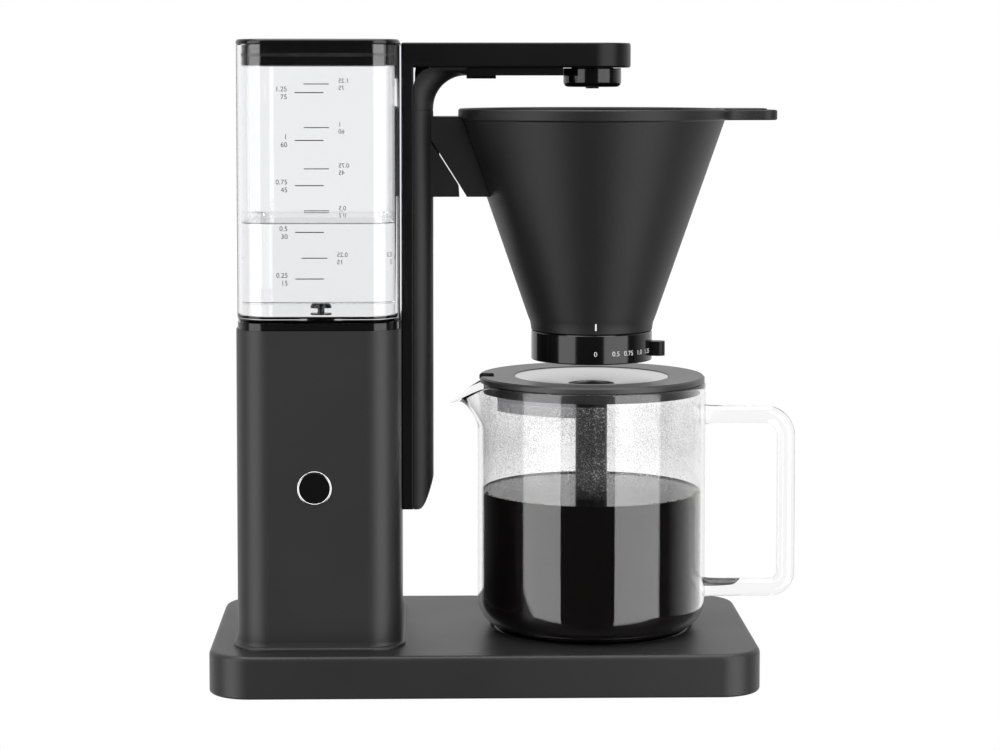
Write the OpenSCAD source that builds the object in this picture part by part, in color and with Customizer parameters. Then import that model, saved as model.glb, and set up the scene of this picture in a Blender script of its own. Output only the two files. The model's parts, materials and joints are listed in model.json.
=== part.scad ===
// Filter coffee brewer: water tank on a tower, side column with a brew arm,
// hanging filter holder with a flow ring, glass carafe on a warming plate.
// Millimetres, +Z up, floor at Z = 0, front towards -Y.
// The origin is the middle of the footprint, carafe handle included.

/* [Base] */
// Width of the base, left to right
base_w = 315; // [300:1:380]
// Depth of the base, front to back
base_d = 170; // [160:1:210]
// Height of the base's top above the floor
base_top = 28; // [26:0.5:40]
// Corner radius of the base in plan
base_corner = 24; // [18:1:32]
// Rounding of the base's upper edge
base_edge = 3; // [1:0.5:5]
// Wall of the base shell
base_wall = 2.6; // [2:0.1:4]
// Visible height of the rubber feet
foot_lift = 3.5; // [2:0.5:8]
// Radius of a foot
foot_r = 7; // [5:0.5:9]

/* [Tower] */
// Width of the tower
tower_w = 94; // [84:1:110]
// Depth of the tower
tower_d = 140; // [120:1:150]
// Height of the tower shell above the base
tower_h = 182.3; // [150:1:230]
// Space between the base's left edge and the tower
tower_margin = 15.7; // [10:0.5:20]
// Corner radius of the tower and the tank
tower_corner = 19; // [14:1:26]
// Wall of the tower shell
tower_wall = 2.4; // [1.8:0.1:3.5]
// Visible height of the collar that carries the tank
collar_h = 4.2; // [3:0.2:8]
// Radius of the round badge on the tower's front
badge_r = 9.9; // [6:0.5:14]
// Height of the badge's centre above the base
badge_z = 93; // [60:1:120]
// Sideways offset of the badge from the tower's centre
badge_dx = -2; // [-4:0.5:4]

/* [Tank] */
// Height of the tank from its underside to its mouth
tank_h = 157.4; // [130:1:190]
// Wall of the tank
tank_wall = 2.6; // [2:0.1:3.5]
// Thickness of the tank's floor
tank_floor = 3; // [2.5:0.5:5]
// How far the tank stands inside the tower's outline
tank_inset = 0.6; // [0.4:0.1:1]
// Thickness of the tank lid's flange
tank_lid_h = 3; // [2:0.5:5]
// Depth of the lid's skirt inside the tank
skirt_h = 12; // [8:1:20]
// Lift that opens the tank's valve
valve_lift = 1.5; // [1:0.1:2]

/* [Column and arm] */
// Thickness of the column's frame, left to right
frame_t = 7.1; // [5:0.5:10]
// Thickness of the column's cover
cover_t = 11.6; // [10:0.5:16]
// Half width of the column and the arm, front to back
arm_half = 22.6; // [20:0.5:28]
// Height of the column's lower end above the base
column_low = 72.6; // [50:1:100]
// Height of the arm's top above the tank's mouth
arm_rise = 1.5; // [0:0.5:10]
// Height of the arm's side faces
arm_h = 14.5; // [12:0.5:20]
// Depth of the under cover below the arm
under_t = 4.6; // [3:0.2:6]
// Skin of the frame and its covers
skin = 2; // [1.6:0.1:2.6]
// Inner corner radius between column and arm
frame_bend = 12; // [8:1:16]
// Inner radius of the gooseneck
neck_bend = 19; // [14:1:24]

/* [Brew head] */
// Distance from the base's centre to the brew axis
brew_dx = 64.6; // [60:0.5:80]
// Radius of the nozzle cup
cup_r = 17.1; // [14:0.5:18]
// Height of the nozzle cup below the arm
cup_drop = 11.3; // [9:0.5:14]
// Gap between the nozzle cup and the filter holder's rim
cup_gap = 12.7; // [8:0.5:20]

/* [Filter holder] */
// Outer radius of the rim
rim_r = 79; // [74:1:82]
// Height of the rim band
rim_h = 6.5; // [4:0.5:10]
// Height of the whole filter holder, without the flow ring
holder_h = 130.7; // [110:1:140]
// Wall of the filter holder
holder_wall = 2.4; // [2:0.2:4]
// Radius of the holder's lower end and of the flow ring
ring_r = 35.8; // [32:0.5:40]
// Height of the flow ring
ring_h = 17.5; // [14:0.5:18]
// Reach of the tab handle from the brew axis
tab_reach = 108.5; // [95:1:120]
// Width of the tab handle
tab_w = 34; // [24:1:40]
// Half width of the hook and its bracket, front to back
hook_half = 17; // [12:1:19]

/* [Carafe] */
// Outer radius of the glass
carafe_r = 67.5; // [60:0.5:68]
// Height of the glass
carafe_h = 145.5; // [130:1:147]
// Wall of the glass
glass = 2.4; // [2:0.1:4]
// Outer radius between the wall and the bottom
carafe_round = 16; // [10:1:20]
// Reach of the handle from the brew axis
handle_reach = 121.4; // [110:1:135]
// Diameter of the handle's glass rod
rod_d = 10.7; // [8:0.1:14]
// Height of the handle's top above the carafe's bottom
handle_top = 130.7; // [115:1:134]
// Height of the handle's underside above the carafe's bottom
handle_low = 16.3; // [14:1:30]
// Reach of the spout's tip from the brew axis
spout_reach = 84.4; // [78:1:92]
// Height of the carafe lid's top above the rim
lid_rise = 3.8; // [3:0.2:5]
// Radius of the steel dish in the lid
dish_r = 45.5; // [36:0.5:50]
// Radius of the pouring hole in the dish
dish_hole = 13.6; // [9:0.2:18]
// Outer radius of the mixing tube
tube_r = 9.4; // [7:0.2:11]

/* [Warming plate] */
// Radius of the warming plate
plate_r = 58; // [50:1:62]
// Thickness of the warming plate
plate_t = 3; // [2:0.5:4]

/* [Hidden] */
$fn = 96;
// Gap between pieces that lift or turn against each other
seat_gap = 0.3;
// Running clearance on a turning or sliding radius
run_gap = 0.08;
// Small overlap that lets a cut pass a face
eps = 0.5;
edge_steps = 8;

handle_x = brew_dx + handle_reach;
base_cx = -(max(handle_x, base_w / 2) - base_w / 2) / 2;
brew_x = base_cx + brew_dx;
tower_cx = base_cx - base_w / 2 + tower_margin + tower_w / 2;
tower_right = tower_cx + tower_w / 2;
tower_top = base_top + tower_h;
tower_zmid = base_top + tower_h / 2;
inner_w = tower_w - 2 * tower_wall;
inner_d = tower_d - 2 * tower_wall;
tank_z = tower_top + collar_h;
tank_top = tank_z + tank_h;
tank_w = tower_w - 2 * tank_inset;
tank_d = tower_d - 2 * tank_inset;
tank_corner = tower_corner - tank_inset;
arm_top = tank_top + arm_rise;
arm_low = arm_top - arm_h;
under_low = arm_low - under_t;
cup_low = arm_low - cup_drop;
rim_top = cup_low - cup_gap;
holder_low = rim_top - holder_h;
ring_low = holder_low - ring_h;
rim_low = rim_top - rim_h;
column_z = base_top + column_low;
frame_x = tower_right;
seam_x = frame_x + frame_t;
cover_x = seam_x + cover_t;
seam_z = under_low - neck_bend - 1;
carafe_top = base_top + carafe_h;
lid_top = carafe_top + lid_rise;
floor_z = base_top - plate_t;
pan_t = 2;
pan_z = foot_lift + 0.6;
pan_top = pan_z + pan_t;
tower_floor = base_top;
flow_turn = 61.3;

// Points of an arc, from angle a0 to a1
function arc(x, y, r, a0, a1, n = edge_steps) =
    [for (i = [0:n]) let (a = a0 + (a1 - a0) * i / n) [x + r * cos(a), y + r * sin(a)]];

module rounded_rect(w, d, r) {
    square([w, d - 2 * r], center = true);
    square([w - 2 * r, d], center = true);
    for (x = [-1, 1], y = [-1, 1]) translate([x * (w / 2 - r), y * (d / 2 - r)]) circle(r);
}

// Upright rounded block from z0 to z1 with rounded lower and upper edges
module soft_block(w, d, r, z0, z1, low_edge, top_edge) {
    profile = concat([[0, z0]],
        low_edge > 0 ? arc(r - low_edge, z0 + low_edge, low_edge, -90, 0) : [[r, z0]],
        top_edge > 0 ? arc(r - top_edge, z1 - top_edge, top_edge, 0, 90) : [[r, z1]],
        [[0, z1]]);
    translate([-w / 2 + r, -d / 2 + r, z0]) cube([w - 2 * r, d - 2 * r, z1 - z0]);
    for (s = [0, 180]) rotate([0, 0, s]) {
        translate([w / 2 - r, d / 2 - r, 0]) rotate([90, 0, 0]) linear_extrude(d - 2 * r) polygon(profile);
        translate([-w / 2 + r, d / 2 - r, 0]) rotate([90, 0, 90]) linear_extrude(w - 2 * r)
            polygon(profile);
        translate([w / 2 - r, d / 2 - r, 0]) rotate_extrude(angle = 90) polygon(profile);
        translate([-w / 2 + r, d / 2 - r, 0]) rotate([0, 0, 90]) rotate_extrude(angle = 90)
            polygon(profile);
    }
}

// Upright tube
module tube(r, bore, z0, z1) {
    translate([0, 0, z0]) difference() {
        cylinder(r = r, h = z1 - z0);
        translate([0, 0, -eps]) cylinder(r = bore, h = z1 - z0 + 2 * eps);
    }
}

// Outline in the X-Z plane, carried from -half to +half along Y
module side_slab(half) {
    translate([0, half, 0]) rotate([90, 0, 0]) linear_extrude(2 * half) children();
}

// ---- base ----
module base_outer() {
    translate([base_cx, 0, 0]) soft_block(base_w, base_d, base_corner, foot_lift, base_top, 1.5, base_edge);
}
module base_shell() {
    color("#2b2b2c") difference() {
        base_outer();
        translate([base_cx, 0, 0]) soft_block(base_w - 2 * base_wall, base_d - 2 * base_wall,
            base_corner - base_wall, foot_lift - eps, base_top - base_wall, 0, 1);
        translate([brew_x, 0, foot_lift]) cylinder(r = plate_r + 2, h = base_top);
        translate([tower_cx, 0, base_top - base_wall - eps])
            linear_extrude(base_wall + 2 * eps) rounded_rect(tower_w - 24, tower_d - 24, 10);
    }
    color("#2b2b2c") translate([brew_x, 0, 0]) tube(plate_r + 4, plate_r + 2, base_top - 9,
        base_top - base_wall);
    color("#2b2b2c") screw_places() tube(4, 1.8, boss_z, base_top - base_wall);
}
boss_z = pan_z + 8;
pan_gap = 0.3;
module base_pan() {
    color("#232324") difference() {
        translate([base_cx, 0, pan_z]) linear_extrude(pan_t)
            rounded_rect(base_w - 2 * (base_wall + pan_gap), base_d - 2 * (base_wall + pan_gap),
                base_corner - base_wall - pan_gap);
        foot_places() cylinder(r = 3.5, h = base_top);
        screw_places() cylinder(r = 1.8, h = base_top);
    }
    color("#232324") screw_places() tube(4, 1.8, pan_top, boss_z - 0.1);
}
foot_x = base_w / 2 - base_corner - 4;
foot_y = base_d / 2 - base_corner - 1;
module foot_places() {
    for (x = [-foot_x, 0, foot_x], y = [-foot_y, foot_y]) translate([base_cx + x, y, 0]) children();
}
module rubber_feet() {
    color("#101010") foot_places() {
        cylinder(r1 = foot_r - 0.6, r2 = foot_r, h = 1);
        translate([0, 0, 1]) cylinder(r = foot_r, h = pan_z - 1);
        translate([0, 0, pan_z]) cylinder(r = 3.5, h = pan_t);
        translate([0, 0, pan_top]) cylinder(r1 = 4.6, r2 = 3, h = 2);
    }
}
module screw_places() {
    for (x = [-1, 1], y = [-1, 1])
        translate([base_cx + x * (base_w / 2 - 22), y * (base_d / 2 - 44), 0]) children();
}
module base_screws() {
    color("#8b8d90") screw_places() {
        translate([0, 0, foot_lift - 1.4]) difference() {
            cylinder(r = 3.2, h = 2);
            translate([0, 0, -eps]) cylinder(r = 1.2, h = eps + 1.2, $fn = 6);
        }
        translate([0, 0, pan_z]) cylinder(r = 1.75, h = 12);
    }
}
module warming_plate() {
    color("#1c1c1d") translate([brew_x, 0, 0]) {
        translate([0, 0, floor_z]) cylinder(r = plate_r, h = plate_t - 0.8);
        translate([0, 0, base_top - 0.8]) cylinder(r1 = plate_r, r2 = plate_r - 0.8, h = 0.8);
    }
}
module plate_seal() {
    color("#151515") translate([brew_x, 0, 0]) {
        tube(plate_r + 2, plate_r, base_top - plate_t, base_top - 0.4);
        tube(plate_r + 2, plate_r - 3, base_top - plate_t - 1.5, base_top - plate_t);
    }
}
heater_r = 38;
module plate_heater() {
    color("#9a9c9e") translate([brew_x, 0, floor_z - 6.5]) difference() {
        union() {
            rotate([0, 0, 20]) rotate_extrude(angle = 320) translate([heater_r, 3.25]) circle(3.25,
                $fn = 32);
            for (a = [20, 340]) rotate([0, 0, a]) translate([heater_r, 0, 3.25])
                rotate([a == 20 ? 90 : -90, 0, 0]) cylinder(r = 2, h = 9, $fn = 32);
        }
        translate([0, 0, 6.25]) cylinder(r = plate_r, h = 2);
    }
    color("#9a9c9e") translate([brew_x, 0, floor_z - 0.25]) cylinder(r = heater_r + 6, h = 0.25);
}
module plate_thermostat() {
    color("#c9c2b0") translate([brew_x, 0, floor_z - 0.25]) {
        translate([0, 0, -1.2]) cylinder(r = 9, h = 1.2);
        translate([0, 0, -6.5]) cylinder(r = 7, h = 5.3);
        for (s = [-1, 1]) translate([s * 4 - 0.4, -3, -10]) cube([0.8, 6, 3.5]);
    }
}
module plate_bracket() {
    z0 = pan_top;
    color("#77797b") translate([brew_x, 0, 0]) {
        for (s = [-1, 1]) translate([s * (plate_r - 4) - 3, -8, z0]) {
            cube([6, 16, 1.5]);
            translate([s > 0 ? 4.5 : 0, 0, 0]) cube([1.5, 16, floor_z - 1.5 - z0]);
        }
    }
}
gland_z = base_top + 16;
gland_r = 6;
gland_x = tower_cx + 17;
module cable_gland() {
    color("#141414") translate([gland_x, tower_d / 2, gland_z]) rotate([-90, 0, 0]) difference() {
        union() {
            translate([0, 0, -tower_wall - 2.5]) cylinder(r = gland_r + 2.5, h = 2.5);
            translate([0, 0, -tower_wall]) cylinder(r = gland_r, h = tower_wall);
            cylinder(r = gland_r + 2, h = 2);
            translate([0, 0, 2]) cylinder(r1 = gland_r, r2 = gland_r - 1.6, h = 6);
        }
        translate([0, 0, -tower_wall - 2.5 - eps]) cylinder(r = 3.3, h = tower_wall + 2.5 + 8 + 2 * eps);
    }
}

// ---- tower ----
button_y = 38;
button_z = base_top + 30;
button_r = 8;
module tower_plan(inset) {
    rounded_rect(tower_w - 2 * inset, tower_d - 2 * inset, tower_corner - inset);
}
pipe_z = column_z + 75;
module tower_shell() {
    color("#343536") difference() {
        union() {
            translate([tower_cx, 0, tower_floor]) linear_extrude(tower_h) tower_plan(0);
            translate([tower_cx, 0, 0]) soft_block(tower_w + 5, tower_d + 5, tower_corner + 2.5,
                tower_floor, tower_floor + 2.2, 0, 1.6);
        }
        translate([tower_cx, 0, tower_floor - eps]) linear_extrude(tower_h + 2 * eps)
            tower_plan(tower_wall);
        translate([tower_cx - tower_w / 2 - eps, button_y, button_z]) rotate([0, 90, 0])
            cylinder(r = button_r + 0.25, h = tower_wall + 2 * eps);
        translate([tower_right - tower_wall - eps, 0, pipe_z]) rotate([0, 90, 0]) cylinder(r = 7,
            h = tower_wall + 2 * eps);
        translate([gland_x, tower_d / 2 + eps, gland_z]) rotate([90, 0, 0]) cylinder(r = gland_r,
            h = tower_wall + 2 * eps);
        column_bolt_places() translate([-eps - tower_wall, 0, 0]) rotate([0, 90, 0]) cylinder(r = 2.1,
            h = tower_wall + 2 * eps);
        translate([tower_cx + badge_dx, -tower_d / 2 + 1, base_top + badge_z]) rotate([90, 0, 0])
            cylinder(r = badge_r, h = 3);
    }
}
module column_bolt_places() {
    for (z = [column_z + 14, tower_top - 26], y = [-12, 12]) translate([tower_right, y, z]) children();
}
seat_r = 15;
collar_plug = 6;
module tower_collar() {
    color("#0d0d0e") difference() {
        union() {
            translate([tower_cx, 0, tower_top]) linear_extrude(collar_h) tower_plan(0.8);
            translate([tower_cx, 0, tower_top - collar_plug]) linear_extrude(collar_plug)
                tower_plan(tower_wall + 0.15);
            translate([tower_cx, 0, tower_top - collar_plug - 8]) cylinder(r = seat_r + 3, h = 8);
        }
        translate([tower_cx, 0, tower_top - collar_plug]) cylinder(r = seat_r, h = 30);
        translate([tower_cx, 0, tower_top - 30]) cylinder(r = 4, h = 30);
    }
}
seat_floor = tower_top - collar_plug;
module seat_gasket() {
    color("#1a1a1a") translate([tower_cx, 0, 0]) {
        tube(seat_r, seat_r - 2, seat_floor, tank_z);
    }
}
boss_low = tank_z - 3;
stem_low = seat_floor + 3;
module seat_pin() {
    color("#b9bbbe") translate([tower_cx, 0, 0]) {
        translate([0, 0, seat_floor + 1.2]) cylinder(r = 1.6, h = stem_low - seat_floor - 1.2 - seat_gap);
        for (a = [0, 60, 120]) rotate([0, 0, a]) translate([-6.5, -0.8, seat_floor]) cube([13, 1.6, 1.2]);
    }
}
module badge_place() {
    translate([tower_cx + badge_dx, -tower_d / 2 + 1, base_top + badge_z]) rotate([90, 0, 0]) children();
}
module badge_ring() {
    color("#c9cbcd") badge_place() difference() {
        union() {
            cylinder(r = badge_r, h = 1.2);
            translate([0, 0, 1.2]) cylinder(r1 = badge_r, r2 = badge_r - 0.6, h = 0.6);
        }
        translate([0, 0, -eps]) cylinder(r = badge_r - 2.6, h = 4);
    }
}
module badge_disc() {
    color("#0c0c0d") badge_place() cylinder(r = badge_r - 2.6, h = 1.3);
}
button_travel = 2.5;
module power_button() {
    color("#1b1b1c") translate([tower_cx - tower_w / 2, button_y, button_z]) rotate([0, -90, 0]) {
        translate([0, 0, -tower_wall - 3]) cylinder(r = button_r + 2, h = 2.5);
        translate([0, 0, -tower_wall - 0.5]) cylinder(r = button_r, h = tower_wall + 0.5 + 2.4);
        translate([0, 0, 2.4]) cylinder(r1 = button_r, r2 = button_r - 0.6, h = 0.6);
        translate([0, 0, -tower_wall - 5]) cylinder(r = 2.5, h = 2);
    }
}
module switch_module() {
    x0 = tower_cx - tower_w / 2 + tower_wall + 5 + button_travel + 0.5;
    color("#e6e3da") translate([x0, button_y - 12, button_z - 12]) cube([14, 24, 24]);
    color("#e6e3da") translate([x0 + 2, button_y - 12, pan_top]) cube([10, 20, button_z - 12 - pan_top]);
}
module terminal_block() {
    color("#d9d6cc") translate([tower_cx - 4, tower_d / 2 - tower_wall - 32, pan_top]) difference() {
        cube([36, 16, base_top - pan_top + 6]);
        for (i = [0:2]) translate([6 + 12 * i, 8, 10]) cylinder(r = 2.5, h = 40);
    }
}
board_x = tower_cx;
module control_board() {
    y = tower_d / 2 - tower_wall - 9;
    color("#2f6b3c") translate([board_x - 32, y, base_top + 62]) cube([64, 1.6, 70]);
    color("#303030") for (p = [[-24, 70], [-2, 70], [14, 96]])
        translate([board_x + p[0], y - 12, base_top + p[1]]) cube([16, 12, 20]);
    color("#303030") translate([board_x - 18, y, base_top + 112]) rotate([90, 0, 0]) cylinder(r = 5,
        h = 14);
}
module board_standoffs() {
    y = tower_d / 2 - tower_wall;
    color("#b08d45") for (x = [-24, 24], z = [66, 128])
        translate([board_x + x, y, base_top + z]) rotate([90, 0, 0]) cylinder(r = 2.5, h = 9 - 1.6);
}

// ---- water path inside the tower ----
line_x = tower_cx;
outlet_dx = 17;
valve_z1 = seat_floor - 8 - 16;
valve_z0 = valve_z1 - 18;
boiler_z1 = valve_z0 - 16;
boiler_z0 = boiler_z1 - 62;
stub_r = 4.1;
hose_bore = 4.15;
hose_r = 6.2;
module inlet_hoses() {
    color("#d8d4c8") translate([line_x, 0, 0]) {
        tube(hose_r, hose_bore, valve_z1 + 0.2, seat_floor - 8);
        tube(hose_r, hose_bore, boiler_z1 + 2.2, valve_z0 - 0.2);
    }
}
module check_valve() {
    color("#ece9e0") translate([line_x, 0, 0]) {
        tube(stub_r, 2.6, valve_z1, valve_z1 + 12);
        tube(stub_r, 2.6, valve_z0 - 7, valve_z0);
        difference() {
            translate([0, 0, valve_z0]) cylinder(r = 9, h = valve_z1 - valve_z0);
            translate([0, 0, valve_z0 + 3]) cylinder(r = 6, h = valve_z1 - valve_z0 - 6);
            translate([0, 0, valve_z0 - eps]) cylinder(r = 2.6, h = valve_z1 - valve_z0 + 2 * eps);
        }
        for (a = [0:90:270]) rotate([0, 0, a]) translate([4.6, -0.6, valve_z0 + 3])
            cube([1.4, 1.2, valve_z1 - valve_z0 - 6]);
    }
}
ball_r = 4;
module check_ball() {
    color("#c9cbcd") translate([line_x, 0,
        valve_z0 + 3 + seat_gap + sqrt(ball_r * ball_r - 2.6 * 2.6) + 0.2]) sphere(ball_r, $fn = 48);
}
module boiler() {
    w = 52;
    color("#a9abad") {
        difference() {
            union() {
                translate([line_x - w / 2, -16, boiler_z0]) cube([w, 32, boiler_z1 - boiler_z0]);
                for (x = [0, outlet_dx]) translate([line_x + x, 0, boiler_z1]) {
                    cylinder(r = 6, h = 2);
                    cylinder(r = stub_r, h = 8);
                }
            }
            translate([line_x, 0, boiler_z0 + 10]) cylinder(r = 2.6, h = 90);
            translate([line_x + outlet_dx, 0, boiler_z0 + 10]) cylinder(r = 2.6, h = 90);
            for (x = [-14, 0]) translate([line_x + x, -9, boiler_z0 - eps]) cylinder(r = 4,
                h = boiler_z1 - boiler_z0 - 10);
        }
    }
}
module boiler_bracket() {
    color("#77797b") for (s = [-1, 1]) translate([line_x + s * 20 - 5, 0, 0]) {
        translate([0, -8, pan_top]) cube([10, 16, 1.5]);
        translate([0, -8, pan_top]) cube([10, 1.5, boiler_z0 - pan_top]);
        translate([0, -8, boiler_z0 - 1.5]) cube([10, 16, 1.5]);
    }
}
module boiler_thermostat() {
    color("#cfc8b4") translate([line_x - 8, -16, boiler_z0 + 34]) rotate([90, 0, 0]) {
        cylinder(r = 8.5, h = 1.2);
        translate([0, 0, 1.2]) cylinder(r = 7, h = 8);
        for (s = [-1, 1]) translate([s * 4 - 0.4, -3, 9.2]) cube([0.8, 6, 7]);
    }
}
module thermal_fuse() {
    color("#d9d2bd") translate([line_x + 14, -16, boiler_z0 + 14]) {
        translate([-3, -3.6, 0]) difference() {
            cube([6, 3.6, 26]);
            translate([3, 1.5, -eps]) cylinder(r = 2, h = 30);
        }
        translate([0, -2.1, -3]) cylinder(r = 2, h = 32);
    }
}
module elbow(r, bore, bend) {
    rotate_extrude(angle = 90) translate([bend, 0]) difference() {
        circle(r, $fn = 48);
        circle(bore, $fn = 48);
    }
}
// Hose up from the boiler and out through the tower's side
module riser_hose() {
    bend = 11;
    x1 = line_x + outlet_dx;
    color("#d8d4c8") {
        translate([x1, 0, 0]) tube(hose_r, hose_bore, boiler_z1 + 2.2, pipe_z - bend);
        translate([x1 + bend, 0, pipe_z - bend]) rotate([90, 0, 0]) rotate([0, 0, 90]) elbow(hose_r,
            hose_bore, bend);
        translate([x1 + bend, 0, pipe_z]) rotate([0, 90, 0]) tube(hose_r, hose_bore, 0,
            seam_x - 6 - x1 - bend);
    }
}

// ---- column and arm ----
// Side outline of the L shaped frame, drawn in X and Z, inset all round
module frame_side(inset) {
    x0 = frame_x + inset;
    x1 = seam_x;
    z1 = arm_top - inset;
    polygon(concat([[x0, column_z + inset], [x1, column_z + inset], [x1, arm_low - frame_bend]],
        arc(x1 + frame_bend, arm_low - frame_bend, frame_bend, 180, 90),
        [[brew_x, arm_low], [brew_x, z1], [x0, z1]]));
}
module column_frame() {
    color("#1d1d1e") difference() {
        union() {
            side_slab(arm_half) frame_side(0);
            translate([brew_x, 0, arm_low]) cylinder(r = arm_half, h = arm_h);
        }
        difference() {
            union() {
                side_slab(arm_half - skin) polygon([[frame_x + skin, column_z + skin], [seam_x + eps,
                    column_z + skin],
                    [seam_x + eps, arm_low - eps], [brew_x, arm_low - eps], [brew_x, arm_top - skin],
                        [frame_x + skin, arm_top - skin]]);
                side_slab(arm_half - skin) polygon(concat([[seam_x, arm_low - frame_bend - 1]],
                    arc(seam_x + frame_bend, arm_low - frame_bend, frame_bend - 0.5, 180, 90),
                    [[seam_x + frame_bend + 1, arm_low - 0.5], [seam_x + frame_bend + 1, arm_low + 2],
                        [seam_x - 1, arm_low + 2], [seam_x - 1, arm_low - frame_bend - 1]]));
                translate([brew_x, 0, arm_low - eps]) cylinder(r = arm_half - skin, h = arm_h - skin + eps);
            }
            column_bolt_places() rotate([0, 90, 0]) cylinder(r = 4, h = frame_t - 0.5);
        }
        translate([frame_x - eps, 0, pipe_z]) rotate([0, 90, 0]) cylinder(r = 7, h = skin + 2 * eps);
        column_bolt_places() translate([-eps, 0, 0]) rotate([0, 90, 0]) cylinder(r = 1.9, h = frame_t);
    }
}
// Plan of the column cover: flat on the frame, rounded on the brew side
module cover_plan(inset) {
    r = cover_t - inset;
    h = arm_half - inset;
    polygon(concat([[seam_x, -h]], arc(seam_x, -h + r, r, -90, 0), arc(seam_x, h - r, r, 0, 90),
        [[seam_x, h]]));
}
module column_cover() {
    color("#2a2a2b") difference() {
        translate([0, 0, column_z]) linear_extrude(seam_z - column_z - 0.15) cover_plan(0);
        translate([0, 0, column_z + skin]) linear_extrude(seam_z) cover_plan(skin);
        // slanted lower end
        side_slab(arm_half + eps) polygon(concat([[cover_x + eps, column_z - eps], [cover_x + eps,
            column_z + 18]],
            arc(cover_x - 9, column_z + 18, 9, 0, -62), [[seam_x + 3.2, column_z - eps]]));
    }
    // sloping floor that closes the lower end
    color("#2a2a2b") intersection() {
        translate([0, 0, column_z]) linear_extrude(30) cover_plan(0);
        side_slab(arm_half) polygon(concat([[cover_x, column_z + 18.5], [cover_x, column_z + 18]],
            arc(cover_x - 9, column_z + 18, 9, 0, -62), [[seam_x + 3.2, column_z],
                [seam_x + 3.2 - skin, column_z + skin]],
            arc(cover_x - 9, column_z + 18, 9 - skin, -62, 0), [[cover_x - skin, column_z + 18.5]]));
    }
}
module gooseneck_side(inset) {
    x1 = cover_x - inset;
    z1 = under_low + inset;
    r = neck_bend + inset;
    polygon(concat([[seam_x, seam_z], [x1, seam_z]],
        arc(x1 + r, z1 - r, r, 180, 90),
        [[x1 + r, arm_low]],
        arc(seam_x + frame_bend, arm_low - frame_bend, frame_bend, 90, 180)));
}
module gooseneck() {
    color("#262627") difference() {
        side_slab(arm_half - 0.6) gooseneck_side(0);
        side_slab(arm_half - 0.6 - skin)
            polygon(concat([[seam_x - 1, seam_z - eps], [cover_x - skin, seam_z - eps]],
            arc(cover_x + neck_bend, under_low - neck_bend, neck_bend + skin, 180, 96),
            [[cover_x + neck_bend, under_low + skin], [cover_x + neck_bend + eps, under_low + skin],
                [cover_x + neck_bend + eps, arm_low + 1], [seam_x - 1, arm_low + 1]]));
    }
}
under_x0 = cover_x + neck_bend + 0.1;
under_x1 = brew_x - cup_r - 1;
under_half = arm_half - 3.6;
spigot_r = 12.4;
module under_cover() {
    color("#1b1b1c") {
        difference() {
            translate([under_x0, -under_half, under_low])
                cube([under_x1 - under_x0, 2 * under_half, under_t]);
            translate([under_x0 + skin, -under_half + skin, under_low + skin])
                cube([under_x1 - under_x0 - 2 * skin, 2 * under_half - 2 * skin, under_t]);
        }
        difference() {
            union() {
                translate([under_x0, -under_half, arm_low]) cube([brew_x - under_x0, 2 * under_half, 1.8]);
                translate([brew_x, 0, arm_low]) cylinder(r = under_half, h = 1.8);
                translate([brew_x, 0, cup_low + 5.2]) cylinder(r = spigot_r, h = arm_low - cup_low - 5.2);
            }
            translate([under_x0 + skin, -under_half + skin, arm_low - eps])
                cube([under_x1 - under_x0 - 2 * skin, 2 * under_half - 2 * skin, 4]);
            translate([brew_x, 0, cup_low]) cylinder(r = 4.2, h = 60);
        }
    }
}
module latch_block() {
    color("#0f0f10") difference() {
        translate([under_x0 + 0.6, -9, under_low - 1.8]) cube([17, 18, 1.8]);
        translate([under_x0 + 4, -9 - eps, under_low - 1.8 - eps]) cube([10, 2, 1 + eps]);
    }
}
tube_x = (seam_x + cover_x) / 2 - 1;
tube_z = arm_top - skin - 4.4;
module riser_tube() {
    r = 4;
    bore = 2.8;
    low_bend = 9;
    top_bend = 12;
    end_bend = tube_z - arm_low - 2;
    color("#cfccc0") {
        translate([seam_x - 6, 0, pipe_z]) rotate([0, 90, 0]) tube(stub_r, bore, -10,
            tube_x - low_bend - seam_x + 6);
        translate([tube_x - low_bend, 0, pipe_z + low_bend]) rotate([90, 0, 0]) rotate([0, 0, -90])
            elbow(r, bore, low_bend);
        translate([tube_x, 0, 0]) tube(r, bore, pipe_z + low_bend, tube_z - top_bend);
        translate([tube_x + top_bend, 0, tube_z - top_bend]) rotate([90, 0, 0]) rotate([0, 0, 90])
            elbow(r, bore, top_bend);
        translate([tube_x + top_bend, 0, tube_z]) rotate([0, 90, 0]) tube(r, bore, 0,
            brew_x - end_bend - tube_x - top_bend);
        translate([brew_x - end_bend, 0, tube_z - end_bend]) rotate([90, 0, 0]) elbow(r, bore, end_bend);
        translate([brew_x, 0, 0]) tube(r, bore, cup_low + 4.4, tube_z - end_bend);
    }
}
module column_screws() {
    color("#8b8d90") column_bolt_places() rotate([0, 90, 0]) {
        translate([0, 0, -tower_wall - 2.4]) difference() {
            cylinder(r = 3.4, h = 2.4);
            translate([0, 0, -eps]) cylinder(r = 1.4, h = 1.2 + eps, $fn = 6);
        }
        translate([0, 0, -tower_wall]) cylinder(r = 1.85, h = tower_wall + frame_t - 2);
    }
}

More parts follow.
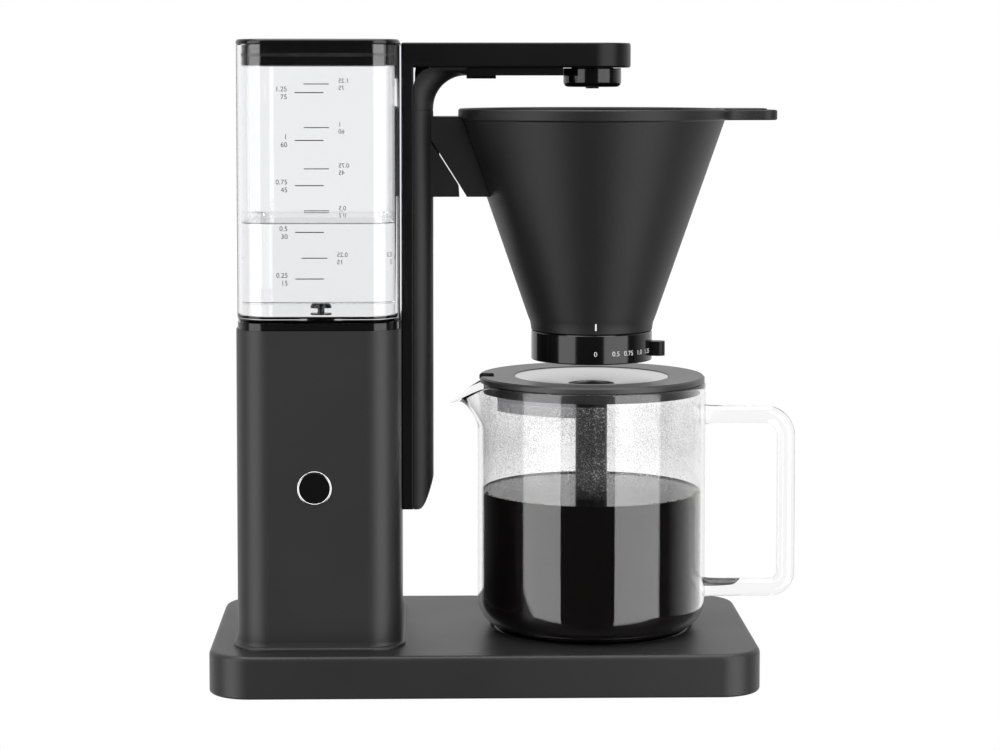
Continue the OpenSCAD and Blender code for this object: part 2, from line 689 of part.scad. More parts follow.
// ---- hook bracket on the column and the holder's hook ----
hook_top = rim_low + 1.9;
hook_low = hook_top - 46.7;
hook_left = cover_x - 2.7;
wedge_top = hook_top - 15.1;
wedge_right = cover_x + 14.8;
slant_top_x = cover_x - 1.3;
slant_low_z = hook_low + 6.2;
module hook_bracket() {
    color("#353536") {
        difference() {
            side_slab(hook_half) polygon([[hook_left - 1, hook_low], [wedge_right + 0.4, hook_low],
                [wedge_right, slant_low_z],
                [slant_top_x, wedge_top], [hook_left - 1, wedge_top]]);
            linear_extrude(400) cover_plan(0);
        }
        difference() {
            side_slab(8) polygon([[slant_top_x - 2, wedge_top - 8], [slant_top_x + 5, wedge_top - 8],
                [slant_top_x + 3.5, hook_top - 10.5],
                [slant_top_x + 13, hook_top - 10.5], [slant_top_x + 13, hook_top - 5], [slant_top_x - 2,
                    hook_top - 5]]);
            linear_extrude(400) cover_plan(0);
        }
    }
}
module hook_arm() {
    slant_gap = 0.35;
    color("#303031") difference() {
        side_slab(hook_half) polygon([[hook_left, hook_top], [brew_x - rim_r + 4, hook_top], [brew_x - 50,
            hook_low],
            [wedge_right + 4.8, hook_low], [wedge_right + 2.2, hook_low + 4.2], [wedge_right + slant_gap,
                slant_low_z + 1],
            [slant_top_x + slant_gap, wedge_top + 1], [hook_left, wedge_top + 3.2]]);
        linear_extrude(400) cover_plan(-seat_gap);
        translate([brew_x, 0, 0]) holder_solid(0.15);
        translate([hook_left - 1, -8 - seat_gap, hook_low])
            cube([slant_top_x + 13 + 2 * seat_gap - hook_left + 1, 16 + 2 * seat_gap,
            hook_top - 5 + seat_gap - hook_low]);
    }
}

// ---- nozzle ----
module nozzle_cup() {
    color("#0e0e0f") translate([brew_x, 0, 0]) difference() {
        rotate_extrude() polygon(concat([[0, cup_low]], arc(cup_r - 3, cup_low + 3, 3, -90, 0),
            [[cup_r, arm_low - seat_gap], [spigot_r + seat_gap, arm_low - seat_gap], [spigot_r + seat_gap,
                cup_low + 3], [0, cup_low + 3]]));
        translate([0, 0, cup_low - eps]) cylinder(r = 3.9, h = 6);
    }
}
module spray_insert() {
    color("#2a2a2b") translate([brew_x, 0, 0]) difference() {
        union() {
            translate([0, 0, cup_low - 0.9]) cylinder(r = 3.9, h = 3.9);
            translate([0, 0, cup_low + 3]) cylinder(r = 6, h = 1);
        }
        for (i = [0:5]) rotate([0, 0, 60 * i]) translate([2.2, 0, cup_low - 2]) cylinder(r = 0.7, h = 8,
            $fn = 24);
    }
}
module nozzle_seal() {
    color("#77322a") translate([brew_x, 0, 0]) tube(5.6, 4.02, cup_low + 4.3, cup_low + 5.2);
}

// ---- filter holder ----
spigot_out = 20;
spigot_low = ring_low + 6;
port_r = 4;
port_off = 11;
// Outer form of the holder, grown by g
module holder_solid(g) {
    rotate_extrude() polygon([[0, holder_low - g], [ring_r + g, holder_low - g], [ring_r + 0.4 + g,
        holder_low + 2.6],
        [ring_r + 1.9 + g, holder_low + 7.5], [rim_r - 0.8 + g, rim_low], [rim_r + g, rim_low - g],
            [rim_r + g, rim_top + g], [0, rim_top + g]]);
}
// inner radius of the holder's cone at a height
function inside_r(z) = ring_r + 1.9 - holder_wall + (rim_r - ring_r - 2.7) * (z - holder_low - 8) / (rim_low - holder_low - 8);
module filter_cone() {
    w = holder_wall;
    rib_w = 1.6;
    rib_low = holder_low + 14;
    rib_top = rim_low - 52;
    color("#222223") translate([brew_x, 0, 0]) difference() {
        union() {
            difference() {
                union() {
                    holder_solid(0);
                    tab_z = rim_top - 0.6;
                    translate([(rim_r + tab_reach) / 2 - 6, 0, tab_z - 6.5]) linear_extrude(6.5)
                        rounded_rect(tab_reach - rim_r + 12, tab_w, 8);
                }
                rotate_extrude() polygon([[0, holder_low + 4], [ring_r - w, holder_low + 4],
                    [ring_r + 1.9 - w, holder_low + 8],
                    [rim_r - 0.8 - w, rim_low], [rim_r - w, rim_top + eps], [0, rim_top + eps]]);
            }
            translate([0, 0, spigot_low]) cylinder(r = spigot_out, h = holder_low - spigot_low);
            // ribs that hold the paper off the wall
            for (i = [0:11]) rotate([0, 0, 30 * i + 15]) translate([0, rib_w / 2, 0]) rotate([90, 0, 0])
                linear_extrude(rib_w) polygon([[inside_r(rib_low) - 2, rib_low], [inside_r(rib_low) + 1,
                    rib_low],
                    [inside_r(rib_top) + 1, rib_top], [inside_r(rib_top) - 2, rib_top]]);
        }
        translate([0, 0, spigot_low + 2.5]) cylinder(r = spigot_out - 4.5, h = holder_low - spigot_low + 4);
        translate([0, -port_off, spigot_low - eps]) cylinder(r = port_r, h = 10);
    }
}
module spigot_clip() {
    color("#b9bbbe") translate([brew_x, 0, 0]) tube(spigot_out + 4, spigot_out, spigot_low + 1.2,
        spigot_low + 2.6);
}
module spigot_seal() {
    color("#8a3a30") translate([brew_x, -port_off, 0]) tube(port_r + 3, port_r, spigot_low - 1, spigot_low);
}
ring_wall = 2.6;
web_z = spigot_low + 2.6 + seat_gap;
module flow_ring() {
    color("#161617") translate([brew_x, 0, 0]) {
        difference() {
            rotate_extrude() polygon(concat([[ring_r - ring_wall, ring_low]], arc(ring_r - 1,
                ring_low + 1, 1, -90, 0),
                [[ring_r, holder_low - seat_gap], [ring_r - ring_wall, holder_low - seat_gap]]));
        }
        tube(ring_r - ring_wall, spigot_out + run_gap, web_z, web_z + 2.5);
    }
}
module ring_lever() {
    a = -14;
    color("#161617") translate([brew_x, 0, 0]) rotate([0, 0, a]) difference() {
        union() {
            translate([ring_r - 3, -4, ring_low + 3]) cube([7, 8, 8.5]);
            translate([ring_r + 4, 0, ring_low + 3]) cylinder(r = 4, h = 8.5);
        }
        translate([0, 0, ring_low - eps]) cylinder(r = ring_r + 0.02, h = ring_h + 2 * eps);
    }
}
shutter_t = 2.5;
module shutter_disc() {
    z1 = spigot_low - 1 - seat_gap;
    color("#d8d6cf") translate([brew_x, 0, 0]) difference() {
        translate([0, 0, z1 - shutter_t]) cylinder(r = ring_r - ring_wall, h = shutter_t);
        rotate([0, 0, flow_turn]) translate([0, -port_off, ring_low - 5]) cylinder(r = port_r, h = 30);
    }
}

// ---- carafe ----
module carafe_glass() {
    r = carafe_r;
    g = glass;
    z0 = base_top;
    color([0.85, 0.9, 0.92, 0.35]) translate([brew_x, 0, 0]) {
        difference() {
            union() {
                rotate_extrude() polygon(concat([[0, z0]], arc(r - carafe_round, z0 + carafe_round,
                    carafe_round, -90, 0),
                    arc(r - 0.8, carafe_top - 0.8, 0.8, 0, 180),
                    arc(r - carafe_round, z0 + carafe_round, carafe_round - g, 0, -90), [[0, z0 + g]]));
                spout_form(0);
            }
            spout_form(1);
        }
    }
}
spout_low = carafe_h - 26;
spout_tip = carafe_h - 14;
module spout_form(inner) {
    t = inner * 2;
    intersection() {
        side_slab(30) polygon([[-carafe_r + 3 + inner * 4, base_top + spout_low + t], [-carafe_r + 0.6,
            base_top + spout_low + 1.4 * t],
            [-spout_reach - inner, base_top + spout_tip - 1 + t],
            [-spout_reach, base_top + spout_tip + 0.6 + 3 * inner], [-carafe_r + 1.5, carafe_top + inner],
                [-carafe_r + 3 + inner * 4, carafe_top + inner]]);
        linear_extrude(400) polygon([[-carafe_r + 8, -17 + t], [-carafe_r + 1, -15 + t], [-spout_reach,
            -2.5 + t * 0.6],
            [-spout_reach, 2.5 - t * 0.6], [-carafe_r + 1, 15 - t], [-carafe_r + 8, 17 - t]]);
        difference() {
            linear_extrude(400) square([4 * carafe_r, 4 * carafe_r], center = true);
            cylinder(r = carafe_r - 0.4 - glass * inner * 1.2, h = 500, center = true);
        }
    }
}
module carafe_handle() {
    rod = rod_d / 2;
    z1 = base_top + handle_top - rod;
    z0 = base_top + handle_low + rod;
    x1 = handle_reach - rod;
    top_bend = 13;
    low_bend = 9;
    start = sqrt(pow(carafe_r, 2) - pow(rod, 2)) - 0.3;
    color([0.85, 0.9, 0.92, 0.35]) translate([brew_x, 0, 0]) difference() {
        union() {
            for (z = [z0, z1]) translate([start - 1.5, 0, z]) rotate([0, 90, 0])
                cylinder(r = rod, h = x1 - (z == z0 ? low_bend : top_bend) - start + 1.5);
            translate([x1 - top_bend, 0, z1 - top_bend]) rotate([90, 0, 0]) rotate_extrude(angle = 90)
                translate([top_bend, 0]) circle(rod);
            translate([x1 - low_bend, 0, z0 + low_bend]) rotate([90, 0, 0]) rotate([0, 0, -90])
                rotate_extrude(angle = 90) translate([low_bend, 0]) circle(rod);
            translate([x1, 0, z0 + low_bend]) cylinder(r = rod, h = z1 - top_bend - z0 - low_bend);
        }
        translate([0, 0, base_top]) cylinder(r = carafe_r, h = carafe_h);
    }
}
lid_r = carafe_r - 0.6;
lid_neck = carafe_r - glass - 0.7;
module carafe_lid_ring() {
    z1 = lid_top;
    seat = carafe_top + seat_gap;
    color("#333435") translate([brew_x, 0, 0]) difference() {
        rotate_extrude() polygon([[dish_r - 2, z1 - 3], [dish_r, z1 - 3], [dish_r, z1 - 0.9],
            [dish_r + 0.6, z1 - 0.4], [lid_r - 1, z1], [lid_r, z1 - 1],
            [lid_r, seat], [lid_neck, seat], [lid_neck, seat - 6], [lid_neck - 2, seat - 6],
                [lid_neck - 2, z1 - 3.6], [dish_r - 2, z1 - 4]]);
        translate([-lid_r - 2, -9, seat - 8]) cube([11, 18, 30]);
    }
}
module lid_dish() {
    color("#c4c5c6") translate([brew_x, 0, 0]) rotate_extrude() polygon(concat(
        [for (i = [0:10]) let (u = i / 10) [dish_hole + (dish_r - 0.2 - dish_hole) * u,
            lid_top - 0.9 - 4.2 * pow(1 - u, 1.6)]],
        [[dish_r - 0.2, lid_top - 2.9]],
        [for (i = [10:-1:0]) let (u = i / 10) [dish_hole + (dish_r - 3 - dish_hole) * u,
            lid_top - 2.1 - 4.2 * pow(1 - u, 1.6)]]));
}
module lid_gasket() {
    color([0.2, 0.2, 0.2, 0.7]) translate([brew_x, 0, 0]) intersection() {
        tube(lid_neck - 2.1, lid_neck - 3.6, carafe_top - 14, carafe_top - 0.5);
        linear_extrude(400) polygon([[0, 0], [-120, -60], [-60, -120], [-5, -120]]);
    }
}
mix_top = lid_top - 4.2 - 2.1;
mix_low = base_top + 8;
module mixing_tube() {
    color("#1a1a1b") translate([brew_x, 0, 0]) difference() {
        union() {
            translate([0, 0, mix_low]) cylinder(r = tube_r, h = mix_top - 3 - mix_low);
            translate([0, 0, mix_top - 3]) cylinder(r1 = tube_r, r2 = dish_hole + 1.5, h = 3);
        }
        translate([0, 0, mix_low - eps]) cylinder(r = tube_r - 1.6, h = mix_top + 9 - mix_low);
        translate([0, 0, mix_top - 3]) cylinder(r1 = tube_r - 1.6, r2 = dish_hole + 0.1, h = 3.01);
        for (a = [0, 90]) rotate([0, 0, a]) translate([-20, -4, mix_low - eps]) cube([40, 8, 10]);
    }
}

// ---- tank ----
module tank_body() {
    color([0.9, 0.93, 0.95, 0.3]) translate([tower_cx, 0, 0]) difference() {
        soft_block(tank_w, tank_d, tank_corner, tank_z, tank_top, 3, 0);
        soft_block(tank_w - 2 * tank_wall, tank_d - 2 * tank_wall, tank_corner - tank_wall,
            tank_z + tank_floor, tank_top + eps, 2, 0);
        translate([0, 0, tank_z - eps]) cylinder(r = seat_hole, h = tank_floor + 2 * eps);
    }
}
seat_hole = 8;
module valve_seat() {
    z1 = tank_z + tank_floor;
    color("#111112") translate([tower_cx, 0, 0]) difference() {
        union() {
            translate([0, 0, boss_low]) cylinder(r = seat_hole, h = z1 - boss_low);
            translate([0, 0, tank_z - 1.2]) cylinder(r = seat_hole + 2, h = 1.2);
        }
        translate([0, 0, z1 - 1.2]) cylinder(r = 5, h = 20);
        translate([0, 0, boss_low - eps]) cylinder(r = 5, h = z1 - 3.2 - boss_low + eps);
        translate([0, 0, boss_low]) cylinder(r = 2.6, h = 20);
    }
}
head_z = tank_z + tank_floor + valve_lift;
head_r = 6.2;
module valve_poppet() {
    color("#0b0b0c") translate([tower_cx, 0, 0]) {
        translate([0, 0, head_z]) rotate_extrude()
            polygon(concat([[0, 0], [head_r, 0], [head_r, 0.6]], arc(head_r - 2.4, 0.6, 2.4, 0, 90),
                [[0, 3]]));
        translate([0, 0, stem_low]) cylinder(r = 2, h = head_z - stem_low);
        translate([0, 0, stem_low]) cylinder(r = 4.4, h = 1);
    }
}
spring_z0 = stem_low + 1;
spring_z1 = tank_z + tank_floor - 3.2;
spring_turns = 4;
wire_r = 0.35;
function spring_pt(t) = [3.4 * cos(360 * spring_turns * t), 3.4 * sin(360 * spring_turns * t),
    spring_z0 + wire_r + 0.05 + (spring_z1 - spring_z0 - 2 * wire_r - 0.1) * t];
module valve_spring() {
    n = 96;
    sides = 6;
    pts = [for (i = [0:n], k = [0:sides - 1]) let (t = i / n, a = 360 * spring_turns * t,
        b = 360 * k / sides)
        spring_pt(t) + wire_r * [cos(a) * cos(b), sin(a) * cos(b), sin(b)]];
    faces = concat([[for (k = [0:sides - 1]) k]],
        [for (i = [0:n - 1], k = [0:sides - 1]) let (a = i * sides + k,
            b = i * sides + (k + 1) % sides) [b, a, a + sides, b + sides]],
        [[for (k = [sides - 1:-1:0]) n * sides + k]]);
    color("#c9cbcd") translate([tower_cx, 0, 0]) polyhedron(pts, faces);
}
skirt_wall = 2.6;
seal_depth = 1.3;
module tank_lid() {
    color("#101011") translate([tower_cx, 0, 0]) {
        soft_block(tank_w + 0.4, tank_d + 0.4, tank_corner + 0.2, tank_top, tank_top + tank_lid_h, 0, 1.2);
        difference() {
            translate([0, 0, tank_top - skirt_h]) linear_extrude(skirt_h) skirt_plan(0);
            translate([0, 0, tank_top - skirt_h - eps]) linear_extrude(skirt_h + eps)
                skirt_plan(skirt_wall);
            seal_ring(0);
        }
    }
}
module skirt_plan(inset) {
    w = tank_wall + seat_gap + inset;
    rounded_rect(tank_w - 2 * w, tank_d - 2 * w, tank_corner - w);
}
// Ring in the skirt's groove, standing proud of the skirt by this much
module seal_ring(proud) {
    translate([0, 0, tank_top - 7]) linear_extrude(2) difference() {
        skirt_plan(-proud - (proud > 0 ? 0 : 1));
        skirt_plan(seal_depth);
    }
}
module tank_lid_seal() {
    color("#303030") translate([tower_cx, 0, 0]) seal_ring(0.15);
}

base_shell();
base_pan();
rubber_feet();
base_screws();
warming_plate();
plate_seal();
plate_heater();
plate_thermostat();
plate_bracket();
cable_gland();
tower_shell();
tower_collar();
seat_gasket();
seat_pin();
badge_ring();
badge_disc();
power_button();
switch_module();
terminal_block();
control_board();
board_standoffs();
inlet_hoses();
check_valve();
check_ball();
boiler();
boiler_bracket();
boiler_thermostat();
thermal_fuse();
riser_hose();
column_frame();
column_cover();
gooseneck();
under_cover();
latch_block();
riser_tube();
column_screws();
hook_bracket();
nozzle_cup();
spray_insert();
nozzle_seal();
filter_cone();
hook_arm();
spigot_clip();
spigot_seal();
flow_ring();
ring_lever();
shutter_disc();
carafe_glass();
carafe_handle();
carafe_lid_ring();
lid_dish();
lid_gasket();
mixing_tube();
tank_body();
valve_seat();
valve_poppet();
valve_spring();
tank_lid();
tank_lid_seal();
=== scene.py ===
"""Looks of a filter coffee brewer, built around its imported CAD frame.

Lengths are written in millimetres and turned into metres by MM. +X runs from the tank to the
carafe's handle, -Y is the front, and the floor is Z = 0.
"""

import json
import math

import bmesh
import bpy
import numpy as np
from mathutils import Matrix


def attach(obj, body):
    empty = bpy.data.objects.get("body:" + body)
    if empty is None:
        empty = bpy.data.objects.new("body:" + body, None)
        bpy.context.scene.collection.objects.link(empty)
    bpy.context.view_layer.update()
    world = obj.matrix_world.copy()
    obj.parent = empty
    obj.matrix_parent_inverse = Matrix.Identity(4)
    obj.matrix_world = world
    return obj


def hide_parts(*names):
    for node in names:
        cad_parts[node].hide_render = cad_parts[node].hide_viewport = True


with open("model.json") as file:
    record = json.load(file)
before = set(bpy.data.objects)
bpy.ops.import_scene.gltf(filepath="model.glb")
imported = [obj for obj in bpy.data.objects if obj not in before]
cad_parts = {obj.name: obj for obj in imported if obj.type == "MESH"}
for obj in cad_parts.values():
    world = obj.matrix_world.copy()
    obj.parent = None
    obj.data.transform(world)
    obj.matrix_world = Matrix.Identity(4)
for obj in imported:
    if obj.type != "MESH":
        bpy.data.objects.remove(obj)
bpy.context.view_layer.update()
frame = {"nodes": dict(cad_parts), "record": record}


def framed_view():
    """The camera, solved from the base's outline."""
    data = bpy.data.cameras.new("View")
    data.lens, data.sensor_width = 91.06, 36
    data.shift_x, data.shift_y = 0.02453, -0.1459
    data.clip_end = 50
    eye = bpy.data.objects.new("View", data)
    eye.location = (-0.04977, -1.49102, 0.35399)
    eye.rotation_euler = (math.radians(90 - 3.463), 0, math.radians(-1.203))
    bpy.context.scene.collection.objects.link(eye)
    bpy.context.scene.camera = eye


framed_view()

MM = 0.001

# ---- sizes of the frame, in mm ----
BASE_X, BASE_W, BASE_D, BASE_R = -14.25, 315.0, 170.0, 24.0
BASE_LOW, BASE_TOP = 3.5, 28.0
TOWER_X, TOWER_W, TOWER_D, TOWER_R = -109.05, 94.0, 140.0, 19.0
TANK_LOW, TANK_TOP, TANK_W, TANK_D, TANK_R = 214.5, 371.9, 92.8, 138.8, 18.4
TANK_WALL, TANK_FLOOR, WATER_Z = 2.6, 3.0, 270.5
FRAME_X, SEAM_X, COVER_X = -62.05, -54.95, -43.35
COLUMN_LOW, SEAM_Z, ARM_LOW, ARM_TOP, UNDER_LOW = 100.6, 334.3, 358.9, 373.4, 354.3
ARM_HALF, FRAME_BEND, NECK_BEND = 22.6, 12.0, 19.0
BREW_X = 50.35
CUP_R, CUP_LOW = 17.1, 347.6
RIM_R, RIM_TOP, RIM_LOW, HOLDER_LOW, RING_R, RING_LOW = 79.0, 334.9, 328.4, 204.2, 35.8, 186.7
CARAFE_R, GLASS, CARAFE_LOW, CARAFE_TOP, CARAFE_ROUND = 67.5, 2.4, 28.0, 173.5, 16.0
COFFEE_Z, LID_TOP, DISH_R, DISH_HOLE = 108.5, 177.3, 45.5, 13.6


# ---- surfaces ----
def finish_mesh(name, points, faces, sharp=35, weighted=True):
    """Makes a mesh of points and faces: doubled points merged, faces outwards, smooth shading."""
    mesh = bpy.data.meshes.new(name)
    mesh.from_pydata((np.asarray(points, float) * MM).tolist(), [], faces)
    bm = bmesh.new()
    bm.from_mesh(mesh)
    bmesh.ops.remove_doubles(bm, verts=bm.verts, dist=1e-7)
    bmesh.ops.recalc_face_normals(bm, faces=bm.faces)
    bm.to_mesh(mesh)
    bm.free()
    mesh.polygons.foreach_set("use_smooth", np.ones(len(mesh.polygons), bool))
    mesh.set_sharp_from_angle(angle=math.radians(sharp))
    piece = bpy.data.objects.new(name, mesh)
    bpy.context.scene.collection.objects.link(piece)
    if weighted:
        flow = piece.modifiers.new("Flat faces stay flat", "WEIGHTED_NORMAL")
        flow.keep_sharp = True
    return piece


def grid_piece(name, rows, close_rows=False, close_cols=True, caps=False, **how):
    """A surface over a grid of points: rows[j, i] is joined to its neighbours in both directions."""
    rows = np.asarray(rows, float)
    high, wide = rows.shape[:2]
    index = np.arange(high * wide).reshape(high, wide)
    if close_rows:
        index = np.vstack([index, index[:1]])
    if close_cols:
        index = np.hstack([index, index[:, :1]])
    quads = np.stack([index[:-1, :-1], index[:-1, 1:], index[1:, 1:], index[1:, :-1]], -1)
    faces = quads.reshape(-1, 4).tolist()
    if caps:
        faces += [index[0, :wide].tolist(), index[-1, :wide][::-1].tolist()]
    return finish_mesh(name, rows.reshape(-1, 3), faces, **how)


def arc(x, y, r, start, end, steps=8):
    """Points on a circle of radius r about (x, y), from one angle to another in degrees."""
    a = np.radians(np.linspace(start, end, steps + 1))
    return np.stack([x + r * np.cos(a), y + r * np.sin(a)], -1)


def outline(w, d, r, x=0.0, y=0.0, corner=10, side=14):
    """A rounded rectangle as a loop: four quarter circles joined by evenly divided straight sides."""
    corners = [arc(sx * (w / 2 - r), sy * (d / 2 - r), r, a, a + 90, corner)
               for sx, sy, a in ((1, 1, 0), (-1, 1, 90), (-1, -1, 180), (1, -1, 270))]
    loop = []
    for here, after in zip(corners, corners[1:] + corners[:1]):
        t = np.linspace(0, 1, side + 2)[1:-1, None]
        loop += [here, here[-1] * (1 - t) + after[0] * t]
    return np.vstack(loop) + (x, y)


def loft(name, rows, **how):
    """A skin through level loops: each row is (loop of x and y, height)."""
    levels = [np.column_stack([loop, np.full(len(loop), z)]) for loop, z in rows]
    return grid_piece(name, levels, **how)


def lathe(name, profile, x=BREW_X, y=0.0, steps=128, **how):
    """A profile of (radius, height) turned once about the upright axis through (x, y)."""
    profile = np.asarray(profile, float)
    a = np.linspace(0, 2 * np.pi, steps, endpoint=False)
    rows = np.stack([x + profile[:, :1] * np.cos(a), y + profile[:, :1] * np.sin(a),
                     np.repeat(profile[:, 1:], steps, 1)], -1)
    return grid_piece(name, rows, **how)


def inset_loop(loop, depth):
    """The loop moved inwards: each point goes along the mean of its two edge normals."""
    edge = np.roll(loop, -1, 0) - loop
    normal = np.stack([-edge[:, 1], edge[:, 0]], -1)
    normal /= np.linalg.norm(normal, axis=1, keepdims=True)
    before = np.roll(normal, 1, 0)
    return loop + depth * (normal + before) / (1 + (normal * before).sum(1, keepdims=True))


def slab(name, loop, low, high, edge, upright=True, **how):
    """A plate: the loop carried from low to high, with both its edges rounded by a quarter circle."""
    a = np.radians(np.linspace(0, 90, 5))
    depth = edge * (1 - np.sin(a))
    rise = edge * (1 - np.cos(a))
    rows = [(inset_loop(loop, d), low + r) for d, r in zip(depth, rise)]
    rows += [(inset_loop(loop, d), high - r) for d, r in zip(depth[::-1], rise[::-1])]
    levels = np.array([np.column_stack([p, np.full(len(p), z)]) for p, z in rows])
    if not upright:
        levels = levels[:, :, [0, 2, 1]]
    return grid_piece(name, levels, caps=True, **how)


def sweep(name, path, radius, around=32, **how):
    """A round rod: circles of the given radius carried along a path that lies in one X-Z plane."""
    path = np.asarray(path, float)
    tangent = np.gradient(path, axis=0)
    tangent /= np.linalg.norm(tangent, axis=1, keepdims=True)
    across = np.array([0.0, 1.0, 0.0])
    normal = np.cross(tangent, across)
    b = np.linspace(0, 2 * np.pi, around, endpoint=False)
    radius = np.broadcast_to(radius, len(path))[:, None, None]
    rows = path[:, None] + radius * (np.cos(b)[None, :, None] * normal[:, None]
                                     + np.sin(b)[None, :, None] * across)
    return grid_piece(name, rows, caps=True, **how)


# ---- shared shader groups ----
def new_group(name, inputs, outputs):
    """A node group with named number inputs and named outputs, and its two end nodes."""
    group = bpy.data.node_groups.new(name, "ShaderNodeTree")
    for label, value in inputs.items():
        group.interface.new_socket(label, in_out="INPUT",
                                   socket_type="NodeSocketFloat").default_value = value
    for label, kind in outputs.items():
        group.interface.new_socket(label, in_out="OUTPUT", socket_type=kind)
    return group, group.nodes.new("NodeGroupInput"), group.nodes.new("NodeGroupOutput")


def grain_group():
    """Moulded or sprayed surface: fine grain as height, and slow clouds that shade colour and roughness."""
    group, given, out = new_group("Moulded grain", {"Grain scale": 1500.0, "Cloud scale": 14.0},
                                  {"Height": "NodeSocketFloat", "Cloud": "NodeSocketFloat"})
    n, link = group.nodes, group.links
    place = n.new("ShaderNodeTexCoord")
    fine, coarse, cloud = (n.new("ShaderNodeTexNoise") for _ in range(3))
    for noise in (fine, coarse, cloud):
        link.new(place.outputs["Object"], noise.inputs["Vector"])
    fine.inputs["Detail"].default_value = 2
    coarse.inputs["Detail"].default_value = 3
    cloud.inputs["Detail"].default_value = 4
    part = n.new("ShaderNodeMath")
    part.operation = "MULTIPLY"
    part.inputs[1].default_value = 0.31
    link.new(given.outputs["Grain scale"], fine.inputs["Scale"])
    link.new(given.outputs["Grain scale"], part.inputs[0])
    link.new(part.outputs[0], coarse.inputs["Scale"])
    link.new(given.outputs["Cloud scale"], cloud.inputs["Scale"])
    both = n.new("ShaderNodeMath")
    both.operation = "ADD"
    link.new(fine.outputs["Fac"], both.inputs[0])
    link.new(coarse.outputs["Fac"], both.inputs[1])
    link.new(both.outputs[0], out.inputs["Height"])
    link.new(cloud.outputs["Fac"], out.inputs["Cloud"])
    return group


def brush_group():
    """Steel turned on a lathe: rings that follow the distance from the brew axis, broken up by noise."""
    group, given, out = new_group("Turned rings", {"Ring scale": 900.0},
                                  {"Height": "NodeSocketFloat", "Streak": "NodeSocketFloat"})
    n, link = group.nodes, group.links
    place = n.new("ShaderNodeTexCoord")
    centre = n.new("ShaderNodeMapping")
    centre.inputs["Location"].default_value = (-BREW_X * MM, 0, 0)
    centre.inputs["Scale"].default_value = (1, 1, 0)
    radius = n.new("ShaderNodeVectorMath")
    radius.operation = "LENGTH"
    noise = n.new("ShaderNodeTexNoise")
    noise.noise_dimensions = "1D"
    noise.inputs["Detail"].default_value = 5
    link.new(place.outputs["Object"], centre.inputs["Vector"])
    link.new(centre.outputs[0], radius.inputs[0])
    link.new(radius.outputs["Value"], noise.inputs["W"])
    link.new(given.outputs["Ring scale"], noise.inputs["Scale"])
    link.new(noise.outputs["Fac"], out.inputs["Height"])
    link.new(noise.outputs["Fac"], out.inputs["Streak"])
    return group


GRAIN = grain_group()
RINGS = brush_group()


def spread(nodes, links, source, low, high):
    """A 0 to 1 value spread over another span."""
    span = nodes.new("ShaderNodeMapRange")
    span.inputs["To Min"].default_value = low
    span.inputs["To Max"].default_value = high
    links.new(source, span.inputs["Value"])
    return span.outputs["Result"]


def finish(name, dark, light, rough, grain=1500.0, bump=0.1, depth=0.00008, cloud=14.0,
           metal=0.0, coat=0.0, coat_rough=0.1, level=0.5, rings=False):
    """A solid finish: colour and roughness drift between two values, with a fine relief."""
    made = bpy.data.materials.new(name)
    made.use_nodes = True
    n, link = made.node_tree.nodes, made.node_tree.links
    skin = n["Principled BSDF"]
    group = n.new("ShaderNodeGroup")
    group.node_tree = RINGS if rings else GRAIN
    if rings:
        group.inputs["Ring scale"].default_value = grain
        drift = group.outputs["Streak"]
    else:
        group.inputs["Grain scale"].default_value = grain
        group.inputs["Cloud scale"].default_value = cloud
        drift = group.outputs["Cloud"]
    tone = n.new("ShaderNodeMix")
    tone.data_type = "RGBA"
    tone.inputs["A"].default_value = (*dark, 1)
    tone.inputs["B"].default_value = (*light, 1)
    link.new(spread(n, link, drift, 0.0, 1.0), tone.inputs["Factor"])
    link.new(tone.outputs["Result"], skin.inputs["Base Color"])
    link.new(spread(n, link, drift, rough - 0.05, rough + 0.05), skin.inputs["Roughness"])
    relief = n.new("ShaderNodeBump")
    relief.inputs["Strength"].default_value = bump
    relief.inputs["Distance"].default_value = depth
    link.new(group.outputs["Height"], relief.inputs["Height"])
    link.new(relief.outputs["Normal"], skin.inputs["Normal"])
    skin.inputs["Metallic"].default_value = metal
    skin.inputs["Coat Weight"].default_value = coat
    skin.inputs["Coat Roughness"].default_value = coat_rough
    skin.inputs["Specular IOR Level"].default_value = level
    return made


def clear(name, tint, ior, rough=0.0):
    """A clear finish that lets light through. Slow clouds vary its tint by a hair."""
    made = bpy.data.materials.new(name)
    made.use_nodes = True
    n, link = made.node_tree.nodes, made.node_tree.links
    skin = n["Principled BSDF"]
    skin.inputs["Transmission Weight"].default_value = 1.0
    skin.inputs["IOR"].default_value = ior
    skin.inputs["Roughness"].default_value = rough
    group = n.new("ShaderNodeGroup")
    group.node_tree = GRAIN
    tone = n.new("ShaderNodeMix")
    tone.data_type = "RGBA"
    tone.inputs["A"].default_value = (*tint, 1)
    tone.inputs["B"].default_value = (*(min(1.0, c * 1.02) for c in tint), 1)
    link.new(group.outputs["Cloud"], tone.inputs["Factor"])
    link.new(tone.outputs["Result"], skin.inputs["Base Color"])
    return made


def charcoal(name, dark, light, rough, bump=0.12, level=0.5):
    return finish(name, (dark,) * 3, (light,) * 3, rough, grain=1400, bump=bump, depth=0.0001, level=level)


